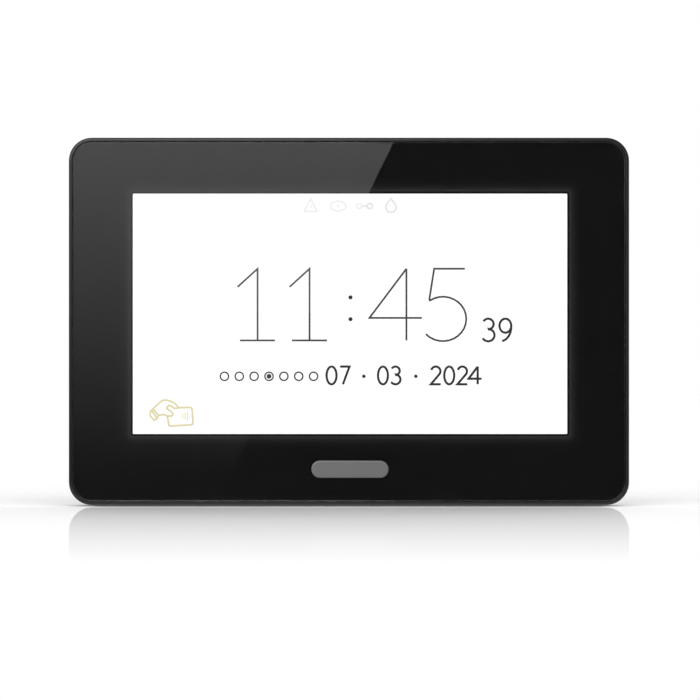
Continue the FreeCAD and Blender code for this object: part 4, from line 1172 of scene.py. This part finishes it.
        half_height = float(FRONT_HIGH[2])
        lean = 0.49
        top_x = 16.45 * MM
        high, low = half_height, -half_height * 1.6
        corners = [seen_at(top_x - lean * (half_height - z), z) for z in (low, high)]
        left, top = -3.0, 3.0
        y = glass_front - before
        points = [(left, y, corners[0][1]), (corners[0][0], y, corners[0][1]),
                  (corners[1][0], y, corners[1][1]), (corners[1][0], y, top), (left, y, top)]
        material, nodes = self.bare_material("Lit Card")
        rise = nodes.add("SeparateXYZ", {"Vector": object_place(nodes)}).outputs["Z"]
        bottom, full = seen_at(0, -55.0 * MM)[1], seen_at(0, 61.7 * MM)[1]
        share = nodes.span(rise, bottom, bottom + 2 * (full - bottom), 0.0, 2.0)
        value = nodes.math("POWER", share, 1.25)
        lit = nodes.plus(nodes.times(value, stage.card_light), 0.045)
        light = nodes.add("Emission", {"Color": grey(1.0), "Strength": lit})
        output = nodes.tree.nodes["Material Output"]
        nodes.feed(output.inputs["Surface"], light.outputs[0])
        card = self.plain_object("lit_card", points, [(0, 1, 2, 3, 4)], material)
        card.visible_camera = False
        card.visible_diffuse = False
        card.visible_shadow = False

    def light(self, name, source, spread, strength):
        """A soft, even light from one side; spread is how wide it looks, in degrees."""
        lamp = bpy.data.lights.new(name, "SUN")
        lamp.angle = math.radians(spread)
        lamp.energy = strength
        made = bpy.data.objects.new(name, lamp)
        made.location = source
        made.visible_glossy = False
        made.visible_transmission = False
        made.rotation_euler = (-Vector(source)).to_track_quat("-Z", "Y").to_euler()
        bpy.context.scene.collection.objects.link(made)

    def camera(self, stage):
        """A long lens square to the glass, framing the stated width."""
        lens = bpy.data.cameras.new("camera")
        lens.sensor_width = 36.0
        lens.lens = lens.sensor_width * stage.camera_distance / stage.picture_width
        lens.clip_start, lens.clip_end = 0.05, 20.0
        made = bpy.data.objects.new("camera", lens)
        front = float(GLASS_LOW[1])
        made.location = (stage.picture_x, front - stage.camera_distance, stage.picture_z)
        made.rotation_euler = (math.pi / 2, 0.0, 0.0)
        bpy.context.scene.collection.objects.link(made)
        bpy.context.scene.camera = made


PIECE_OPERATORS = (
    KEYPAD_OT_housing,
    KEYPAD_OT_display_parts,
    KEYPAD_OT_metalwork,
    KEYPAD_OT_board,
    KEYPAD_OT_cover_glass,
    KEYPAD_OT_border_print,
    KEYPAD_OT_screen,
    KEYPAD_OT_badge,
    KEYPAD_OT_stage,
)


class KEYPAD_PT_sidebar(bpy.types.Panel):
    """Lists the settings and the operators in the order they run."""

    bl_idname = "KEYPAD_PT_sidebar"
    bl_label = "Wall Keypad"
    bl_space_type = "VIEW_3D"
    bl_region_type = "UI"
    bl_category = "Keypad"

    def draw(self, context):
        column = self.layout.column()
        for settings in (context.scene.keypad_look, context.scene.keypad_stage):
            for name in settings.bl_rna.properties.keys():
                if name not in ("rna_type", "name"):
                    column.prop(settings, name)
        for operator in PIECE_OPERATORS:
            column.operator(operator.bl_idname)


CLASSES = (KeypadLookSettings, KeypadStageSettings, *PIECE_OPERATORS, KEYPAD_PT_sidebar)


def register():
    for one in CLASSES:
        bpy.utils.register_class(one)
    bpy.types.Scene.keypad_look = PointerProperty(type=KeypadLookSettings)
    bpy.types.Scene.keypad_stage = PointerProperty(type=KeypadStageSettings)


def unregister():
    del bpy.types.Scene.keypad_stage
    del bpy.types.Scene.keypad_look
    for one in reversed(CLASSES):
        bpy.utils.unregister_class(one)


def run(operator):
    """Calls an operator by its name and stops if it didn't finish."""
    area, name = operator.bl_idname.split(".")
    if getattr(getattr(bpy.ops, area), name)() != {"FINISHED"}:
        raise RuntimeError(f"{operator.bl_idname} did not finish")


def main():
    register()
    for operator in PIECE_OPERATORS:
        run(operator)


if __name__ == "__main__":
    main()
